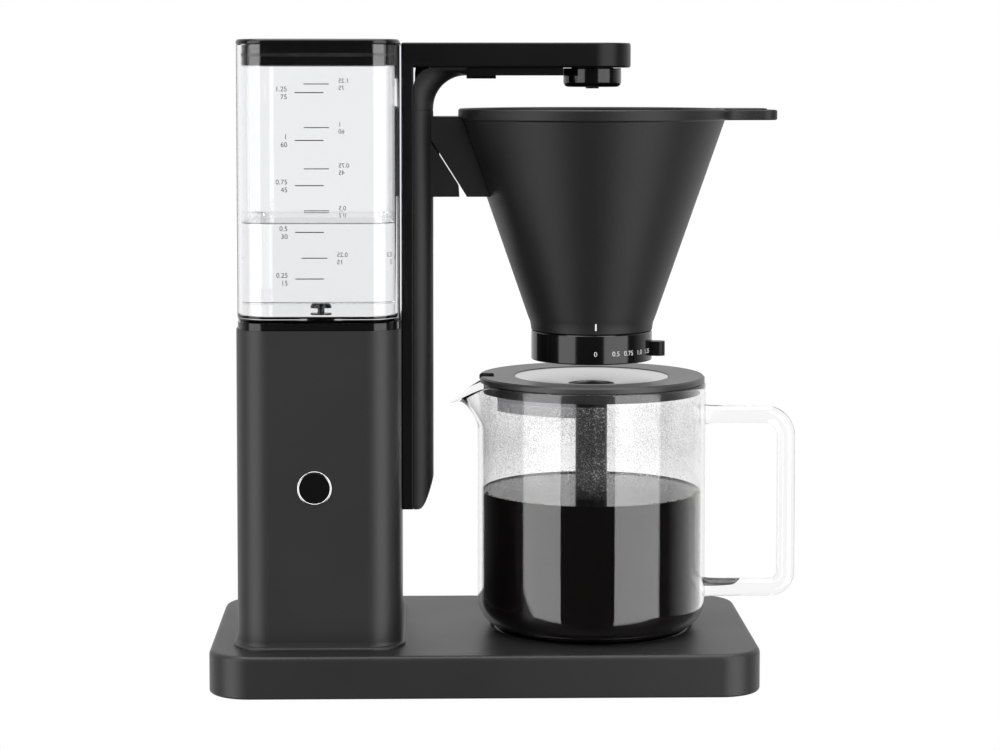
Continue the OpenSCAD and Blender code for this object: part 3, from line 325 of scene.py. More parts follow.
MATERIALS = {
    "base_satin": charcoal("Satin base paint", 0.013, 0.017, 0.42, 0.20),
    "tower_satin": charcoal("Satin tower paint", 0.014, 0.018, 0.44, 0.22),
    "black_gloss": finish("Polished black", (0.003,) * 3, (0.005,) * 3, 0.12, grain=300, bump=0.02),
    "black_satin": charcoal("Smooth satin black", 0.003, 0.005, 0.34, 0.06, 0.25),
    "black_grain": charcoal("Grained matte black", 0.006, 0.009, 0.46, 0.45, 0.38),
    "lid_grey": charcoal("Satin lid grey", 0.028, 0.034, 0.36, 0.08),
    "clear_plastic": clear("Clear tank plastic", (0.97, 0.975, 0.98), 1.46),
    "carafe_glass": clear("Carafe glass", (0.985, 0.99, 0.988), 1.47),
    "smoky_plastic": clear("Smoked plastic", (0.30, 0.30, 0.31), 1.45, 0.12),
    "steel_satin": finish("Turned satin steel", (0.56,) * 3, (0.66,) * 3, 0.30, grain=2200, bump=0.10,
                          depth=0.00004, metal=1.0, rings=True),
    "chrome": finish("Bright chrome", (0.70,) * 3, (0.78,) * 3, 0.10, grain=600, bump=0.02, metal=1.0),
    "rubber": finish("Black rubber", (0.012,) * 3, (0.018,) * 3, 0.72, grain=900, bump=0.2),
    "silicone": finish("Milky hose", (0.55, 0.53, 0.48), (0.62, 0.60, 0.55), 0.4),
    "seal_red": finish("Red seal", (0.30, 0.05, 0.03), (0.38, 0.07, 0.04), 0.5),
    "cast_alloy": finish("Cast alloy", (0.42, 0.43, 0.44), (0.50, 0.51, 0.52), 0.45, grain=700, bump=0.5,
                         metal=1.0),
    "zinc_steel": finish("Zinc plate", (0.48, 0.49, 0.50), (0.58, 0.58, 0.56), 0.32, grain=900, bump=0.1,
                         metal=1.0),
    "cream_plastic": finish("Cream plastic", (0.62, 0.60, 0.54), (0.70, 0.68, 0.62), 0.45),
    "board_green": finish("Green board", (0.02, 0.13, 0.05), (0.03, 0.18, 0.07), 0.35),
}
slot_of = {part["node"]: part["material_slot"] for part in frame["record"]["subparts"]}
for node, part in frame["nodes"].items():
    part.data.materials.clear()
    part.data.materials.append(MATERIALS[slot_of[node]])


def dress(piece, body, slot, *nodes, material=None):
    """Gives a new piece its finish, from its slot unless a material is given, and its body, and hides the
    CAD nodes it stands for.
    """
    piece.data.materials.append(material or MATERIALS[slot])
    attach(piece, body)
    if nodes:
        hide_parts(*nodes)
    return piece


def rim(w, d, r, x, inset=0.0):
    return outline(w - 2 * inset, d - 2 * inset, r - inset, x)


# ---- base ----
def base_rows():
    """The base's skin: rounded foot, upright side, rounded top edge and a flat top.

    The top runs in to the plate's round hole, and the skin goes back along the wall's inner face.
    """
    wall, top, hole = 2.6, 3.0, 60.0
    outer = rim(BASE_W, BASE_D, BASE_R, BASE_X)
    way = np.arctan2(outer[:, 1], outer[:, 0] - BREW_X)
    circle = np.stack([BREW_X + hole * np.cos(way), hole * np.sin(way)], -1)
    inner = rim(BASE_W, BASE_D, BASE_R, BASE_X, wall)
    side = [(1.5 * (1 - math.sin(a)), BASE_LOW + 1.5 * (1 - math.cos(a)))
            for a in np.linspace(0, math.pi / 2, 4)]
    side += [(top * (1 - math.cos(a)), BASE_TOP - top * (1 - math.sin(a)))
             for a in np.linspace(0, math.pi / 2, 8)]
    rows = [(rim(BASE_W, BASE_D, BASE_R, BASE_X, i), z) for i, z in side]
    rows += [(circle, BASE_TOP), (circle, BASE_TOP - wall), (inner, BASE_TOP - wall),
             (inner, BASE_LOW + 0.1)]
    return rows


dress(loft("base_skin", base_rows(), close_rows=True), "chassis", "base_satin", "base_shell")


# ---- tower ----
def tower_foot():
    """A soft cove round the tower's foot: it leaves the base flat and bends up into the wall."""
    a = np.radians(np.linspace(270, 180, 10))
    reach, rise = 3.4, 4.6
    t = np.stack([reach * (1 + np.cos(a)), rise * (1 + np.sin(a))], -1)
    rows = [(rim(TOWER_W, TOWER_D, TOWER_R, TOWER_X, -d), BASE_TOP + 0.02 + z) for d, z in t]
    rows += [(rim(TOWER_W, TOWER_D, TOWER_R, TOWER_X, 0.4), BASE_TOP + rise + 0.6)]
    return rows


dress(loft("tower_cove", tower_foot()), "chassis", "tower_satin")

# ---- tank, lid and water ----
def tank_rows():
    """The tank's glass-clear wall: rounded foot, upright outside, mouth, upright inside and floor."""
    rows = [(rim(TANK_W, TANK_D, TANK_R, TOWER_X, 3 - 3 * math.sin(a)), TANK_LOW + 3 - 3 * math.cos(a))
            for a in np.linspace(0, math.pi / 2, 7)]
    rows += [(rim(TANK_W, TANK_D, TANK_R, TOWER_X, i), z) for i, z in (
        (0, TANK_TOP - 0.4), (0.4, TANK_TOP), (TANK_WALL - 0.4, TANK_TOP), (TANK_WALL, TANK_TOP - 0.4))]
    rows += [(rim(TANK_W, TANK_D, TANK_R, TOWER_X, TANK_WALL + 2 - 2 * math.cos(a)),
              TANK_LOW + TANK_FLOOR + 2 - 2 * math.sin(a)) for a in np.linspace(0, math.pi / 2, 6)]
    return rows


dress(loft("tank_wall", tank_rows(), caps=True), "tank", "clear_plastic", "tank_body")
water_rows = [(rim(TANK_W, TANK_D, TANK_R, TOWER_X, TANK_WALL + i), z) for i, z in (
    (2.0, TANK_LOW + TANK_FLOOR + 0.05), (0.6, TANK_LOW + TANK_FLOOR + 0.6),
    (0.04, TANK_LOW + TANK_FLOOR + 2),
    (0.04, WATER_Z + 0.9), (0.5, WATER_Z + 0.3), (1.6, WATER_Z))]
WATER = clear("Fresh water", (0.985, 0.99, 0.995), 1.333)
dress(loft("water", water_rows, caps=True), "tank", "clear_plastic", material=WATER)


def lid_rows():
    """The lid: a thin flange with a soft edge on a skirt that reaches into the tank."""
    out = [(3.0, TANK_TOP + 0.02), (0.5, TANK_TOP + 0.02), (0.0, TANK_TOP + 0.5), (0.0, TANK_TOP + 1.2)]
    out += [(1.8 * (1 - math.cos(a)), TANK_TOP + 1.2 + 1.8 * math.sin(a))
            for a in np.linspace(0, math.pi / 2, 7)]
    return [(rim(TANK_W + 0.4, TANK_D + 0.4, TANK_R + 0.2, TOWER_X, i), z) for i, z in out]


def skirt_rows():
    """The skirt: upright outside with a small round at its foot, and an upright inside."""
    low = TANK_TOP - 12
    out = [(3.1, TANK_TOP + 0.02), (3.1, low + 0.6), (3.3, low + 0.1), (3.8, low), (5.2, low),
           (5.5, low + 0.5),
           (5.5, TANK_TOP + 0.02)]
    return [(rim(TANK_W, TANK_D, TANK_R, TOWER_X, i), z) for i, z in out]


dress(loft("lid_plate", lid_rows(), caps=True), "tank_cover", "black_gloss", "tank_lid")
dress(loft("lid_skirt", skirt_rows(), close_rows=True), "tank_cover", "black_gloss")

# ---- badge: a bare gloss disc in a slim bright ring ----
def badge_lathe(name, profile, slot, *nodes):
    """A profile of (radius, height) turned about the badge's axis, which points to the front."""
    a = np.linspace(0, 2 * np.pi, 96, endpoint=False)
    profile = np.asarray(profile, float)
    r, proud = profile[:, :1], profile[:, 1:]
    rows = np.stack([TOWER_X - 2 + r * np.sin(a), -TOWER_D / 2 + 1 - proud + 0 * a, 121 + r * np.cos(a)],
                    -1)
    dress(grid_piece(name, rows, close_rows=profile[0, 0] > 0), "chassis", slot, *nodes)


hoop = arc(9.25, 1.15, 0.65, 0, 360, 24)[:-1]
badge_lathe("badge_hoop", hoop, "chrome", "badge_ring")
badge_lathe("badge_face", [[0, 0.1], [9.2, 0.1], [9.2, 1.0], [8.4, 1.3], [0, 1.45]], "black_gloss",
            "badge_disc")

# ---- column, gooseneck and arm ----
arm_plan = np.vstack([arc(BREW_X, 0, ARM_HALF, -90, 90, 40),
                      arc(FRAME_X + 1.5, ARM_HALF - 1.5, 1.5, 90, 180, 4),
                      arc(FRAME_X + 1.5, -ARM_HALF + 1.5, 1.5, 180, 270, 4)])
dress(slab("arm_beam", arm_plan, ARM_LOW, ARM_TOP, 1.3), "chassis", "black_satin", "column_frame")
post_plan = outline(SEAM_X - FRAME_X, 2 * ARM_HALF - 0.06, 1.0, (SEAM_X + FRAME_X) / 2, corner=4, side=2)
dress(slab("column_post", post_plan, COLUMN_LOW, ARM_LOW + 3, 0.8), "chassis", "black_satin")


def cover_rows():
    """The cover's skin: a D-shaped plan carried up the column, cut off below by a slanted round."""
    thick = COVER_X - SEAM_X
    a = np.radians(np.linspace(0, 90, 13))
    depth, narrow = thick * np.sin(a), thick * (1 - np.cos(a))
    x = np.concatenate([SEAM_X + depth, (SEAM_X + depth)[::-1]])
    y = np.concatenate([-ARM_HALF + narrow, (ARM_HALF - narrow)[::-1]])
    share = (x - SEAM_X) / thick
    foot = COLUMN_LOW + 17.5 * np.clip((share - 0.28) / 0.72, 0, 1) ** 1.9
    rows = []
    for inset, lift in ((1.2, 0.0), (0.35, 0.25), (0.0, 1.2)):
        shrink = 1 - inset / thick
        rows.append(np.stack([SEAM_X + (x - SEAM_X) * shrink, y * (1 - inset / ARM_HALF * 0.6),
                              foot + lift], -1))
    rows.append(np.stack([x, y, np.full_like(x, SEAM_Z - 0.5)], -1))
    rows.append(np.stack([SEAM_X + (x - SEAM_X) * 0.97, y * 0.99, np.full_like(x, SEAM_Z - 0.12)], -1))
    return np.array(rows)


dress(grid_piece("cover_skin", cover_rows(), caps=True), "chassis", "black_grain", "column_cover")


def neck_rows():
    """The gooseneck: its outer line follows the frame's inner corner, its inner line a wider bend.

    Between the two the section is rounded to a quarter ellipse, so it runs on from the cover.
    """
    bend = 28
    outer = np.vstack([[[SEAM_X, SEAM_Z + 0.12]],
                       arc(SEAM_X + FRAME_BEND, ARM_LOW - FRAME_BEND, FRAME_BEND, 180, 90, bend),
                       [[COVER_X + NECK_BEND, ARM_LOW]]])
    inner = np.vstack([[[COVER_X, SEAM_Z + 0.12]],
                       arc(COVER_X + NECK_BEND, UNDER_LOW - NECK_BEND, NECK_BEND, 180, 90, bend),
                       [[COVER_X + NECK_BEND + 0.05, UNDER_LOW]]])
    thick = np.linalg.norm(inner - outer, axis=1)
    radius = np.minimum(thick, COVER_X - SEAM_X)
    a = np.radians(np.linspace(0, 90, 13))
    share, narrow = np.sin(a), 1 - np.cos(a)
    share = np.concatenate([share, share[::-1]])
    side = np.concatenate([-np.ones(13), np.ones(13)])
    narrow = np.concatenate([narrow, narrow[::-1]])
    flat = outer[:, None] * (1 - share[None, :, None]) + inner[:, None] * share[None, :, None]
    y = side[None] * (ARM_HALF - 0.15 - radius[:, None] * narrow[None])
    return np.stack([flat[..., 0], y, flat[..., 1]], -1)


dress(grid_piece("neck_skin", neck_rows(), caps=True), "chassis", "black_grain", "gooseneck")

# ---- nozzle ----
cup = np.vstack([[[0, CUP_LOW]], arc(CUP_R - 3, CUP_LOW + 3, 3, -90, 0, 8),
                 [[CUP_R, ARM_LOW - 0.9], [CUP_R - 0.3, ARM_LOW - 0.3], [12.7, ARM_LOW - 0.3],
                  [12.7, CUP_LOW + 3], [0, CUP_LOW + 3]]])
dress(lathe("nozzle_skin", cup, steps=96), "nozzle", "black_gloss", "nozzle_cup")

# ---- filter holder ----
wall = 2.4
cone = np.vstack([[[0, HOLDER_LOW], [RING_R - 0.6, HOLDER_LOW], [RING_R, HOLDER_LOW + 0.5],
                   [RING_R + 0.25, HOLDER_LOW + 2.6],
                   [RING_R + 0.7, HOLDER_LOW + 5.0], [RING_R + 1.5, HOLDER_LOW + 7.0],
                   [RING_R + 2.4, HOLDER_LOW + 9.4]],
                  [[RIM_R - 1.6, RIM_LOW - 1.8], [RIM_R - 1.2, RIM_LOW - 0.4], [RIM_R - 0.5, RIM_LOW],
                   [RIM_R, RIM_LOW + 0.6],
                   [RIM_R, RIM_TOP - 1.0], [RIM_R - 0.4, RIM_TOP - 0.3],
                   [RIM_R - 1.0, RIM_TOP], [RIM_R - 1.7, RIM_TOP - 0.2],
                   [RIM_R - wall, RIM_TOP - 1.0], [RIM_R - wall - 0.8, RIM_LOW],
                   [RING_R + 1.9 - wall, HOLDER_LOW + 8], [RING_R - wall, HOLDER_LOW + 4],
                   [0, HOLDER_LOW + 4]]])
dress(lathe("holder_skin", cone, steps=192), "filter_holder", "black_grain", "filter_cone")
spigot = [[0, 192.7], [19.4, 192.7], [20, 193.3], [20, HOLDER_LOW + 0.3], [0, HOLDER_LOW + 0.3]]
dress(lathe("spigot_skin", spigot, steps=64), "filter_holder", "black_grain")


def tab_loop():
    """Plan of the tab handle: a round end, straight sides, and a root that widens as an exponential."""
    x = np.linspace(0, 1, 12)
    root = RIM_R - 5
    spread_x = BREW_X + root + 17 * x
    half = 15.6 + 11 * np.exp(-4.2 * x)
    end = arc(BREW_X + 108.5 - 9, 0, 9, -90, 90, 16)
    end[:, 1] = np.sign(end[:, 1]) * 6.6 + end[:, 1]
    lower = np.stack([spread_x, -half], -1)
    return np.vstack([lower, end, lower[::-1] * (1, -1)])


dress(slab("tab_plate", tab_loop(), 328.2, 334.2, 1.0), "filter_holder", "black_grain")
lip = tab_loop()
lip[:, 0] = BREW_X + RIM_R - 5 + (lip[:, 0] - BREW_X - RIM_R + 5) * 0.86
dress(slab("tab_lip", inset_loop(lip, 1.2), 332.5, 335.1, 0.7), "filter_holder", "black_grain")

# ---- flow ring with its numbers ----
ring_top = HOLDER_LOW - 0.3
ring = [[RING_R - 2.6, RING_LOW + 0.2], [RING_R - 1.0, RING_LOW], [RING_R - 0.3, RING_LOW + 0.3],
        [RING_R, RING_LOW + 1.0],
        [RING_R, ring_top - 0.5], [RING_R - 0.4, ring_top], [RING_R - 2.6, ring_top],
        [RING_R - 2.6, RING_LOW + 9]]
dress(lathe("ring_skin", ring, close_rows=True, steps=160), "flow_control", "black_gloss", "flow_ring")
web = [[20.1, 195.6], [RING_R - 2.5, 195.6], [RING_R - 2.5, 198.1], [20.1, 198.1]]
dress(lathe("ring_web", web, close_rows=True, steps=64), "flow_control", "black_satin")

INK_WHITE = finish("White print", (0.72,) * 3, (0.80,) * 3, 0.5)
INK_BLACK = finish("Black print", (0.004,) * 3, (0.007,) * 3, 0.5)


def letters(name, text, size, thick=0.06, stretch=1.0, align="CENTER"):
    """A number as points and faces in its own flat plane: x to the right, y up, in mm."""
    curve = bpy.data.curves.new(name, "FONT")
    curve.body, curve.size, curve.align_x, curve.align_y = text, size, align, "CENTER"
    curve.extrude, curve.resolution_u = thick, 4
    holder = bpy.data.objects.new(name + "_curve", curve)
    bpy.context.scene.collection.objects.link(holder)
    mesh = bpy.data.meshes.new_from_object(holder)
    bpy.data.objects.remove(holder)
    points = np.empty(len(mesh.vertices) * 3, np.float32)
    mesh.vertices.foreach_get("co", points)
    return points.reshape(-1, 3) * (stretch, 1, 1), [list(p.vertices) for p in mesh.polygons]


def ring_number(name, text, angle, size, z, body="flow_control"):
    """A number bent round the ring: its width becomes an angle, counted from the front towards +X."""
    p, faces = letters(name, text, size, 0.04)
    cut = np.radians(angle) + p[:, 0] / RING_R
    r = RING_R + 0.02 + p[:, 2]
    points = np.stack([BREW_X + r * np.sin(cut), -r * np.cos(cut), z + p[:, 1]], -1)
    dress(finish_mesh(name, points, faces, weighted=False), body, "lid_grey", material=INK_WHITE)


for name, text, angle, size in (("mark_0", "0", 0.0, 4.0), ("mark_05", "0.5", 19.6, 4.0),
                                ("mark_075", "0.75", 33.4, 4.0),
                                ("mark_10", "1.0", 47.5, 4.0), ("mark_125", "1.25", 61.3, 4.0)):
    ring_number(name, text, angle, size, 193.0)


def flat_mark(name, w, h, x, z, y, body, material):
    """A small printed bar with rounded ends, standing in an X-Z plane."""
    r = min(w, h) * 0.3
    loop = outline(w, h, r, x, z, corner=3, side=1)
    dress(slab(name, loop, y, y + 0.08, 0.02, upright=False), body, "lid_grey", material=material)


flat_mark("tick", 1.0, 4.0, BREW_X, 208.9, -RING_R - 1.35, "filter_holder", INK_WHITE)

# ---- scale on the tank ----
SCALE = (("1.25", "75", 344.7), ("1", "60", 317.9), ("0.75", "45", 292.5), ("0.5", "30", 266.2),
         ("0.25", "15", 239.9))
FRONT_Y, BACK_Y, BACK_UP = -TANK_D / 2 - 0.08, TANK_D / 2 + 0.08, 4.4


def scale_number(name, text, x, z, back):
    """A number printed on the tank's front, or on its back and read from there."""
    p, faces = letters(name, text, 3.9, 0.04, align="RIGHT")
    way, y = (-1, BACK_Y) if back else (1, FRONT_Y)
    points = np.stack([x + way * p[:, 0], y - way * p[:, 2], z + p[:, 1]], -1)
    dress(finish_mesh(name, points, faces, weighted=False), "tank", "black_gloss", material=INK_BLACK)


for litres, grams, height in SCALE:
    tag = litres.replace(".", "_")
    flat_mark("line_" + tag, 16.2, 0.55, -113.3, height, FRONT_Y - 0.04, "tank", INK_BLACK)
    flat_mark("line_back_" + tag, 15.6, 0.55, -115.0, height + BACK_UP, BACK_Y - 0.04, "tank", INK_BLACK)
    for back in (False, True):
        x = -101.5 if back else -125.5
        z = height + BACK_UP * back
        side = "back_" if back else "front_"
        scale_number("litres_" + side + tag, litres, x, z + 1.9, back)
        scale_number("grams_" + side + tag, grams, x, z - 2.5, back)

# ---- carafe ----
def beak(r, z, a):
    """The pouring lip: close to -X a bell curve draws the wall's top outwards and its edge dips."""
    side = np.angle(np.exp(1j * (a - math.pi)))
    bell = np.exp(-(side / 0.25) ** 2)
    up = np.clip((z - 147.0) / (CARAFE_TOP - 147.0), 0, 1)
    pull = bell * up ** 1.35
    dip = bell * up ** 3.2
    return r + 16.9 * pull, z - 13.0 * dip


def carafe_rows(profile, steps=256):
    """The glass profile turned about the brew axis, then drawn out into the lip."""
    profile = np.asarray(profile, float)
    a = np.linspace(0, 2 * np.pi, steps, endpoint=False)
    r, z = beak(profile[:, :1] + 0 * a, profile[:, 1:] + 0 * a, a[None])
    return np.stack([BREW_X + r * np.cos(a), r * np.sin(a), z], -1)


g_out, g_in = CARAFE_R, CARAFE_R - GLASS
rise = np.stack([np.full(16, g_out), np.linspace(140, CARAFE_TOP - 1.2, 16)], -1)
fall = np.stack([np.full(16, g_in), np.linspace(CARAFE_TOP - 1.2, 140, 16)], -1)
glass_profile = np.vstack([[[0, CARAFE_LOW], [40, CARAFE_LOW]],
                           arc(g_out - CARAFE_ROUND, CARAFE_LOW + CARAFE_ROUND, CARAFE_ROUND, -90, 0, 14),
                           rise, arc(g_out - 1.2, CARAFE_TOP - 1.2, 1.2, 0, 180, 8)[1:-1], fall,
                           arc(g_out - CARAFE_ROUND, CARAFE_LOW + CARAFE_ROUND, CARAFE_ROUND - GLASS, 0,
                               -90, 14),
                           [[40, CARAFE_LOW + GLASS], [0, CARAFE_LOW + GLASS]]])
dress(grid_piece("carafe_wall", carafe_rows(glass_profile), weighted=False), "carafe", "carafe_glass",
      "carafe_glass")

ROD, HANDLE_X = 5.35, BREW_X + 121.4 - 5.35
top_z, low_z = 158.7 - ROD, 44.3 + ROD
start = BREW_X + CARAFE_R - 0.5
handle_line = np.vstack([np.stack([np.linspace(start, HANDLE_X - 13, 18)[:-1], np.full(17, top_z)], -1),
                         arc(HANDLE_X - 13, top_z - 13, 13, 90, 0, 14),
                         arc(HANDLE_X - 9, low_z + 9, 9, 0, -90, 12),
                         np.stack([np.linspace(HANDLE_X - 9, start, 18)[1:], np.full(17, low_z)], -1)])
along = np.minimum(handle_line[:, 0] - start, 1e3)
handle_path = np.stack([handle_line[:, 0], np.zeros(len(handle_line)), handle_line[:, 1]], -1)
handle_r = ROD * (1 + 0.16 * np.exp(-along / 2.5))
dress(sweep("carafe_rod", handle_path, handle_r, weighted=False), "carafe", "carafe_glass", "carafe_handle")


def coffee_finish():
    """Coffee: nearly black, with painted light: a red-brown glow painted on the lowest part of the rounded
    foot, for light shining through the drink where it is thin.
    """
    made = finish("Black coffee", (0.0025, 0.0012, 0.0008), (0.004, 0.002, 0.0012), 0.08, bump=0.0,
                  level=0.2)
    n, link = made.node_tree.nodes, made.node_tree.links
    skin = n["Principled BSDF"]
    place = n.new("ShaderNodeTexCoord")
    split = n.new("ShaderNodeSeparateXYZ")
    # painted light: below a set height the colour turns red-brown, as if light shone through the thin drink
    glow = n.new("ShaderNodeMapRange")
    for label, value in (("From Min", 0.036), ("From Max", 0.031), ("To Min", 0.0), ("To Max", 1.0)):
        glow.inputs[label].default_value = value
    tone = n.new("ShaderNodeMix")
    tone.data_type = "RGBA"
    tone.inputs["B"].default_value = (0.06, 0.013, 0.004, 1)
    old = skin.inputs["Base Color"].links[0].from_socket
    link.new(place.outputs["Object"], split.inputs[0])
    link.new(split.outputs["Z"], glow.inputs["Value"])
    link.new(glow.outputs["Result"], tone.inputs["Factor"])
    link.new(old, tone.inputs["A"])
    link.new(tone.outputs["Result"], skin.inputs["Base Color"])
    skin.inputs["IOR"].default_value = 1.34
    return made


c_in = g_in - 0.05
coffee = np.vstack([[[0, CARAFE_LOW + GLASS + 0.05]],
                    arc(c_in - 13.6, CARAFE_LOW + GLASS + 13.65, 13.6, -90, 0, 12),
                    [[c_in, COFFEE_Z + 0.9], [c_in - 0.5, COFFEE_Z + 0.45], [c_in - 1.6, COFFEE_Z],
                     [0, COFFEE_Z]]])
dress(lathe("coffee", coffee, steps=128), "carafe", "black_gloss", material=coffee_finish())


def mist_finish():
    """Condensation: a thin skin of fine droplets whose cover fades out towards the coffee."""
    made = bpy.data.materials.new("Condensation")
    made.use_nodes = True
    n, link = made.node_tree.nodes, made.node_tree.links
    skin = n["Principled BSDF"]
    place = n.new("ShaderNodeTexCoord")
    drops = n.new("ShaderNodeTexVoronoi")
    speck = n.new("ShaderNodeTexNoise")
    cloud = n.new("ShaderNodeTexNoise")
    drops.inputs["Scale"].default_value = 900
    speck.inputs["Scale"].default_value = 1300
    cloud.inputs["Scale"].default_value = 26
    for tex in (drops, speck, cloud):
        link.new(place.outputs["Object"], tex.inputs["Vector"])
    beads = n.new("ShaderNodeMapRange")
    for label, value in (("From Min", 0.52), ("From Max", 0.66), ("To Min", 0.0), ("To Max", 0.75)):
        beads.inputs[label].default_value = value
    link.new(speck.outputs["Fac"], beads.inputs["Value"])
    split = n.new("ShaderNodeSeparateXYZ")
    link.new(place.outputs["Object"], split.inputs[0])
    low = n.new("ShaderNodeMapRange")
    for label, value in (("From Min", 0.1125), ("From Max", 0.128), ("To Min", 0.0), ("To Max", 1.0)):
        low.inputs[label].default_value = value
    link.new(split.outputs["Z"], low.inputs["Value"])
    patch = n.new("ShaderNodeMapRange")
    for label, value in (("From Min", 0.38), ("From Max", 0.58), ("To Min", 0.35), ("To Max", 1.0)):
        patch.inputs[label].default_value = value
    link.new(cloud.outputs["Fac"], patch.inputs["Value"])
    veil = n.new("ShaderNodeMath")
    veil.operation = "ADD"
    veil.inputs[1].default_value = 0.10
    link.new(beads.outputs["Result"], veil.inputs[0])
    first = n.new("ShaderNodeMath")
    first.operation = "MULTIPLY"
    both = n.new("ShaderNodeMath")
    both.operation = "MULTIPLY"
    link.new(veil.outputs[0], first.inputs[0])
    link.new(low.outputs["Result"], first.inputs[1])
    link.new(first.outputs[0], both.inputs[0])
    link.new(patch.outputs["Result"], both.inputs[1])
    link.new(both.outputs[0], skin.inputs["Alpha"])
    skin.inputs["Base Color"].default_value = (0.78, 0.78, 0.78, 1)
    skin.inputs["Roughness"].default_value = 0.25
    return made


mist_a = np.linspace(0, 2 * np.pi, 160, endpoint=False)
mist_z = np.linspace(COFFEE_Z + 2, 166, 24)[:, None]
mist = np.stack([BREW_X + (g_in - 0.12) * np.cos(mist_a) + 0 * mist_z,
                 (g_in - 0.12) * np.sin(mist_a) + 0 * mist_z,
                 mist_z + 0 * mist_a], -1)
dress(grid_piece("condensation", mist, weighted=False), "carafe", "carafe_glass", material=mist_finish())

# bubbles at the coffee's edge, one ball shape repeated round the wall
def bubble_points():
    """Small balls along the coffee's edge: two arcs of them, with sizes and places from a seeded spread."""
    pick = np.random.default_rng(7)
    a = np.concatenate([pick.uniform(-62, -8, 70), pick.uniform(188, 242, 46)])
    a = np.radians(a)
    size = pick.uniform(0.25, 0.75, len(a))
    r = g_in - 0.3 - size - pick.uniform(0, 2.2, len(a)) ** 1.5
    z = COFFEE_Z + 0.15 + pick.uniform(0, 0.8, len(a)) * (r > g_in - 1.6)
    return np.stack([BREW_X + r * np.cos(a), r * np.sin(a), z], -1), size


def bubbles():
    centres, size = bubble_points()
    t, p = np.meshgrid(np.linspace(0, np.pi, 6)[1:-1], np.linspace(0, 2 * np.pi, 8, endpoint=False),
                       indexing="ij")
    ball = np.stack([np.sin(t) * np.cos(p), np.sin(t) * np.sin(p), np.cos(t)], -1).reshape(-1, 3)
    ball = np.vstack([ball, [[0, 0, 1], [0, 0, -1]]])
    i = np.arange(32).reshape(4, 8)
    right = np.roll(i, -1, 1)
    quads = np.stack([i[:-1], i[1:], right[1:], right[:-1]], -1).reshape(-1, 4)
    tops = np.stack([np.full(8, 32), i[0], right[0]], -1)
    ends = np.stack([np.full(8, 33), right[3], i[3]], -1)
    points = (centres[:, None] + size[:, None, None] * ball[None]).reshape(-1, 3)
    step = (np.arange(len(centres)) * 34)[:, None, None]
    faces = (quads[None] + step).reshape(-1, 4).tolist()
    faces += (np.vstack([tops, ends])[None] + step).reshape(-1, 3).tolist()
    return finish_mesh("bubbles", points, faces, sharp=180, weighted=False)


FOAM = finish("Golden bubbles", (0.30, 0.20, 0.07), (0.55, 0.42, 0.20), 0.12, grain=700, bump=0.1)
dress(bubbles(), "carafe", "black_gloss", material=FOAM)

# ---- carafe lid ----
u = np.linspace(0, 1, 16)[:, None]
top = np.hstack([DISH_HOLE + (DISH_R - 0.2 - DISH_HOLE) * u, LID_TOP - 0.9 - 4.2 * (1 - u) ** 1.6])
dish = np.vstack([top, [[DISH_R - 0.2, LID_TOP - 2.9]], (top - (0, 1.2))[::-1]])
dress(lathe("dish_skin", dish, close_rows=True, steps=160), "carafe_lid", "steel_satin", "lid_dish")


def panel(name, watts, size, place, aim=(0.0, 0.0, 0.18)):
    """A soft box: a rectangle of light that faces the aim."""
    data = bpy.data.lights.new(name, "AREA")
    data.shape, data.size, data.size_y, data.energy = "RECTANGLE", size[0], size[1], watts
    lamp = bpy.data.objects.new(name, data)
    lamp.location = place
    way = np.array(aim) - np.array(place)
    lamp.rotation_euler = (math.atan2(math.hypot(way[0], way[1]), -way[2]), 0,
                           math.atan2(way[1], way[0]) - math.pi / 2)
    bpy.context.scene.collection.objects.link(lamp)
    return lamp


def straight_view(n, link):
    """1 for light that reaches the eye directly or straight through glass, and 0 after any reflection."""
    path = n.new("ShaderNodeLightPath")
    bent = n.new("ShaderNodeMath")
    bent.operation = "ADD"
    link.new(path.outputs["Glossy Depth"], bent.inputs[0])
    link.new(path.outputs["Diffuse Depth"], bent.inputs[1])
    clean = n.new("ShaderNodeMath")
    clean.operation = "LESS_THAN"
    clean.inputs[1].default_value = 0.5
    link.new(bent.outputs[0], clean.inputs[0])
    through = n.new("ShaderNodeMath")
    through.operation = "MULTIPLY"
    link.new(path.outputs["Is Transmission Ray"], through.inputs[0])
    link.new(clean.outputs[0], through.inputs[1])
    either = n.new("ShaderNodeMath")
    either.operation = "MAXIMUM"
    link.new(path.outputs["Is Camera Ray"], either.inputs[0])
    link.new(through.outputs[0], either.inputs[1])
    return either.outputs[0], path


def surround():
    """White where the camera looks straight or through glass.

    For other light it is a bright back wall and a dim room in front.
    """
    world = bpy.data.worlds.new("Studio")
    bpy.context.scene.world = world
    world.use_nodes = True
    n, link = world.node_tree.nodes, world.node_tree.links
    back = n["Background"]
    place, split = n.new("ShaderNodeTexCoord"), n.new("ShaderNodeSeparateXYZ")
    link.new(place.outputs["Generated"], split.inputs[0])
    room = n.new("ShaderNodeMapRange")
    for label, value in (("From Min", -0.15), ("From Max", 0.55), ("To Min", 0.05), ("To Max", 0.95)):
        room.inputs[label].default_value = value
    link.new(split.outputs["Y"], room.inputs["Value"])
    seen, _ = straight_view(n, link)
    level = n.new("ShaderNodeMath")
    level.operation = "MAXIMUM"
    link.new(seen, level.inputs[0])
    link.new(room.outputs["Result"], level.inputs[1])
    link.new(level.outputs[0], back.inputs["Strength"])
    back.inputs["Color"].default_value = (1, 1, 1, 1)


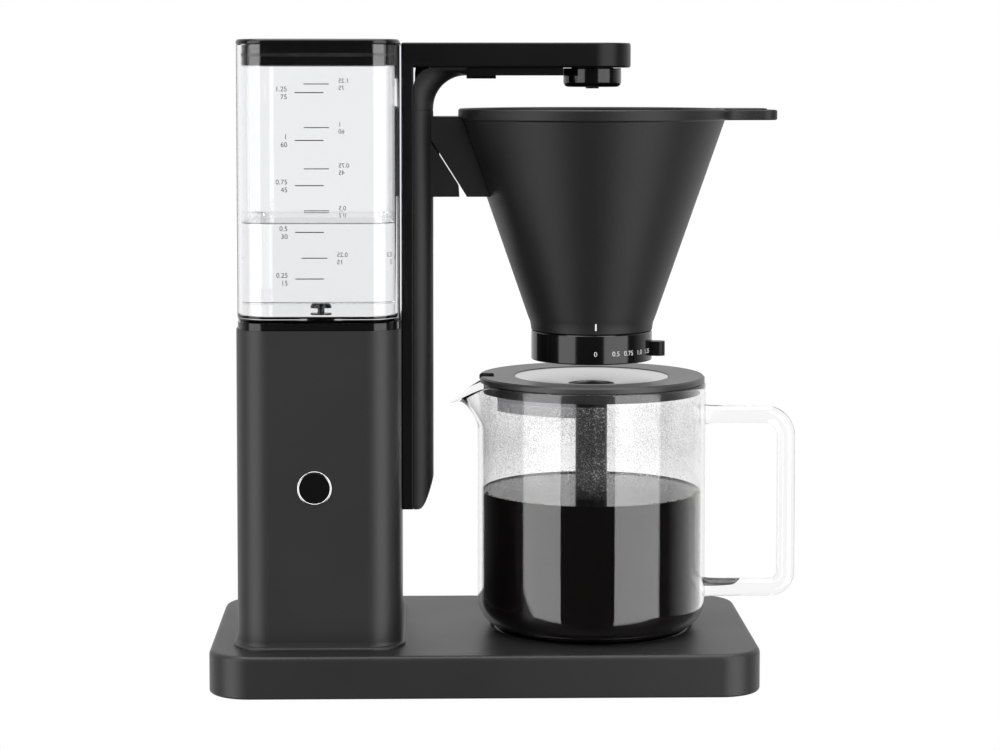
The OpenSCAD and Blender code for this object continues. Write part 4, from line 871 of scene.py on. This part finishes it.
def floor_finish():
    """A pale floor, white to the camera and to glass, that gloss looks past.

    Its glow is dimmed where something stands within 40 mm of the surface, a painted shadow.
    """
    made = bpy.data.materials.new("Pale floor")
    made.use_nodes = True
    n, link = made.node_tree.nodes, made.node_tree.links
    n.clear()
    out = n.new("ShaderNodeOutputMaterial")
    matte = n.new("ShaderNodeBsdfDiffuse")
    glow = n.new("ShaderNodeEmission")
    both = n.new("ShaderNodeAddShader")
    matte.inputs["Color"].default_value = (0.12, 0.12, 0.12, 1)
    seen, path = straight_view(n, link)
    # painted shadow: ambient occlusion darkens the floor's glow close to anything standing on it
    painted_shadow = n.new("ShaderNodeAmbientOcclusion")
    painted_shadow.inputs["Distance"].default_value = 0.04
    painted_shadow.samples = 8
    dim = n.new("ShaderNodeMath")
    dim.operation = "MULTIPLY"
    link.new(painted_shadow.outputs["AO"], dim.inputs[1])
    place, far = n.new("ShaderNodeTexCoord"), n.new("ShaderNodeVectorMath")
    far.operation = "LENGTH"
    link.new(place.outputs["Object"], far.inputs[0])
    fade = n.new("ShaderNodeMapRange")
    for label, value in (("From Min", 0.3), ("From Max", 0.9), ("To Min", 0.90), ("To Max", 1.0)):
        fade.inputs[label].default_value = value
    link.new(far.outputs["Value"], fade.inputs["Value"])
    level = n.new("ShaderNodeMath")
    level.operation = "MULTIPLY"
    link.new(seen, level.inputs[0])
    link.new(fade.outputs["Result"], level.inputs[1])
    link.new(level.outputs[0], dim.inputs[0])
    link.new(dim.outputs[0], glow.inputs["Strength"])
    link.new(matte.outputs[0], both.inputs[0])
    link.new(glow.outputs[0], both.inputs[1])
    open_floor, choice = n.new("ShaderNodeBsdfTransparent"), n.new("ShaderNodeMixShader")
    link.new(path.outputs["Is Glossy Ray"], choice.inputs[0])
    link.new(both.outputs[0], choice.inputs[1])
    link.new(open_floor.outputs[0], choice.inputs[2])
    link.new(choice.outputs[0], out.inputs["Surface"])
    return made


surround()
# an open frame of floor: its opening is 4 m across, so nothing below the object catches a shadow
floor = loft("floor", [(outline(8000, 8000, 400, corner=6, side=2), 0.0),
                       (outline(4000, 4000, 200, corner=6, side=2), 0.0)],
             caps=False, weighted=False)
floor.data.materials.append(floor_finish())
panel("Left soft box", 32, (1.25, 3.2), (-1.3, -0.95, 0.25))
panel("Right soft box", 38, (1.45, 3.2), (1.15, -1.15, 0.25))
panel("Top soft box", 24, (1.6, 1.2), (0.0, -0.1, 1.6))
bpy.context.scene.view_settings.view_transform = "Standard"
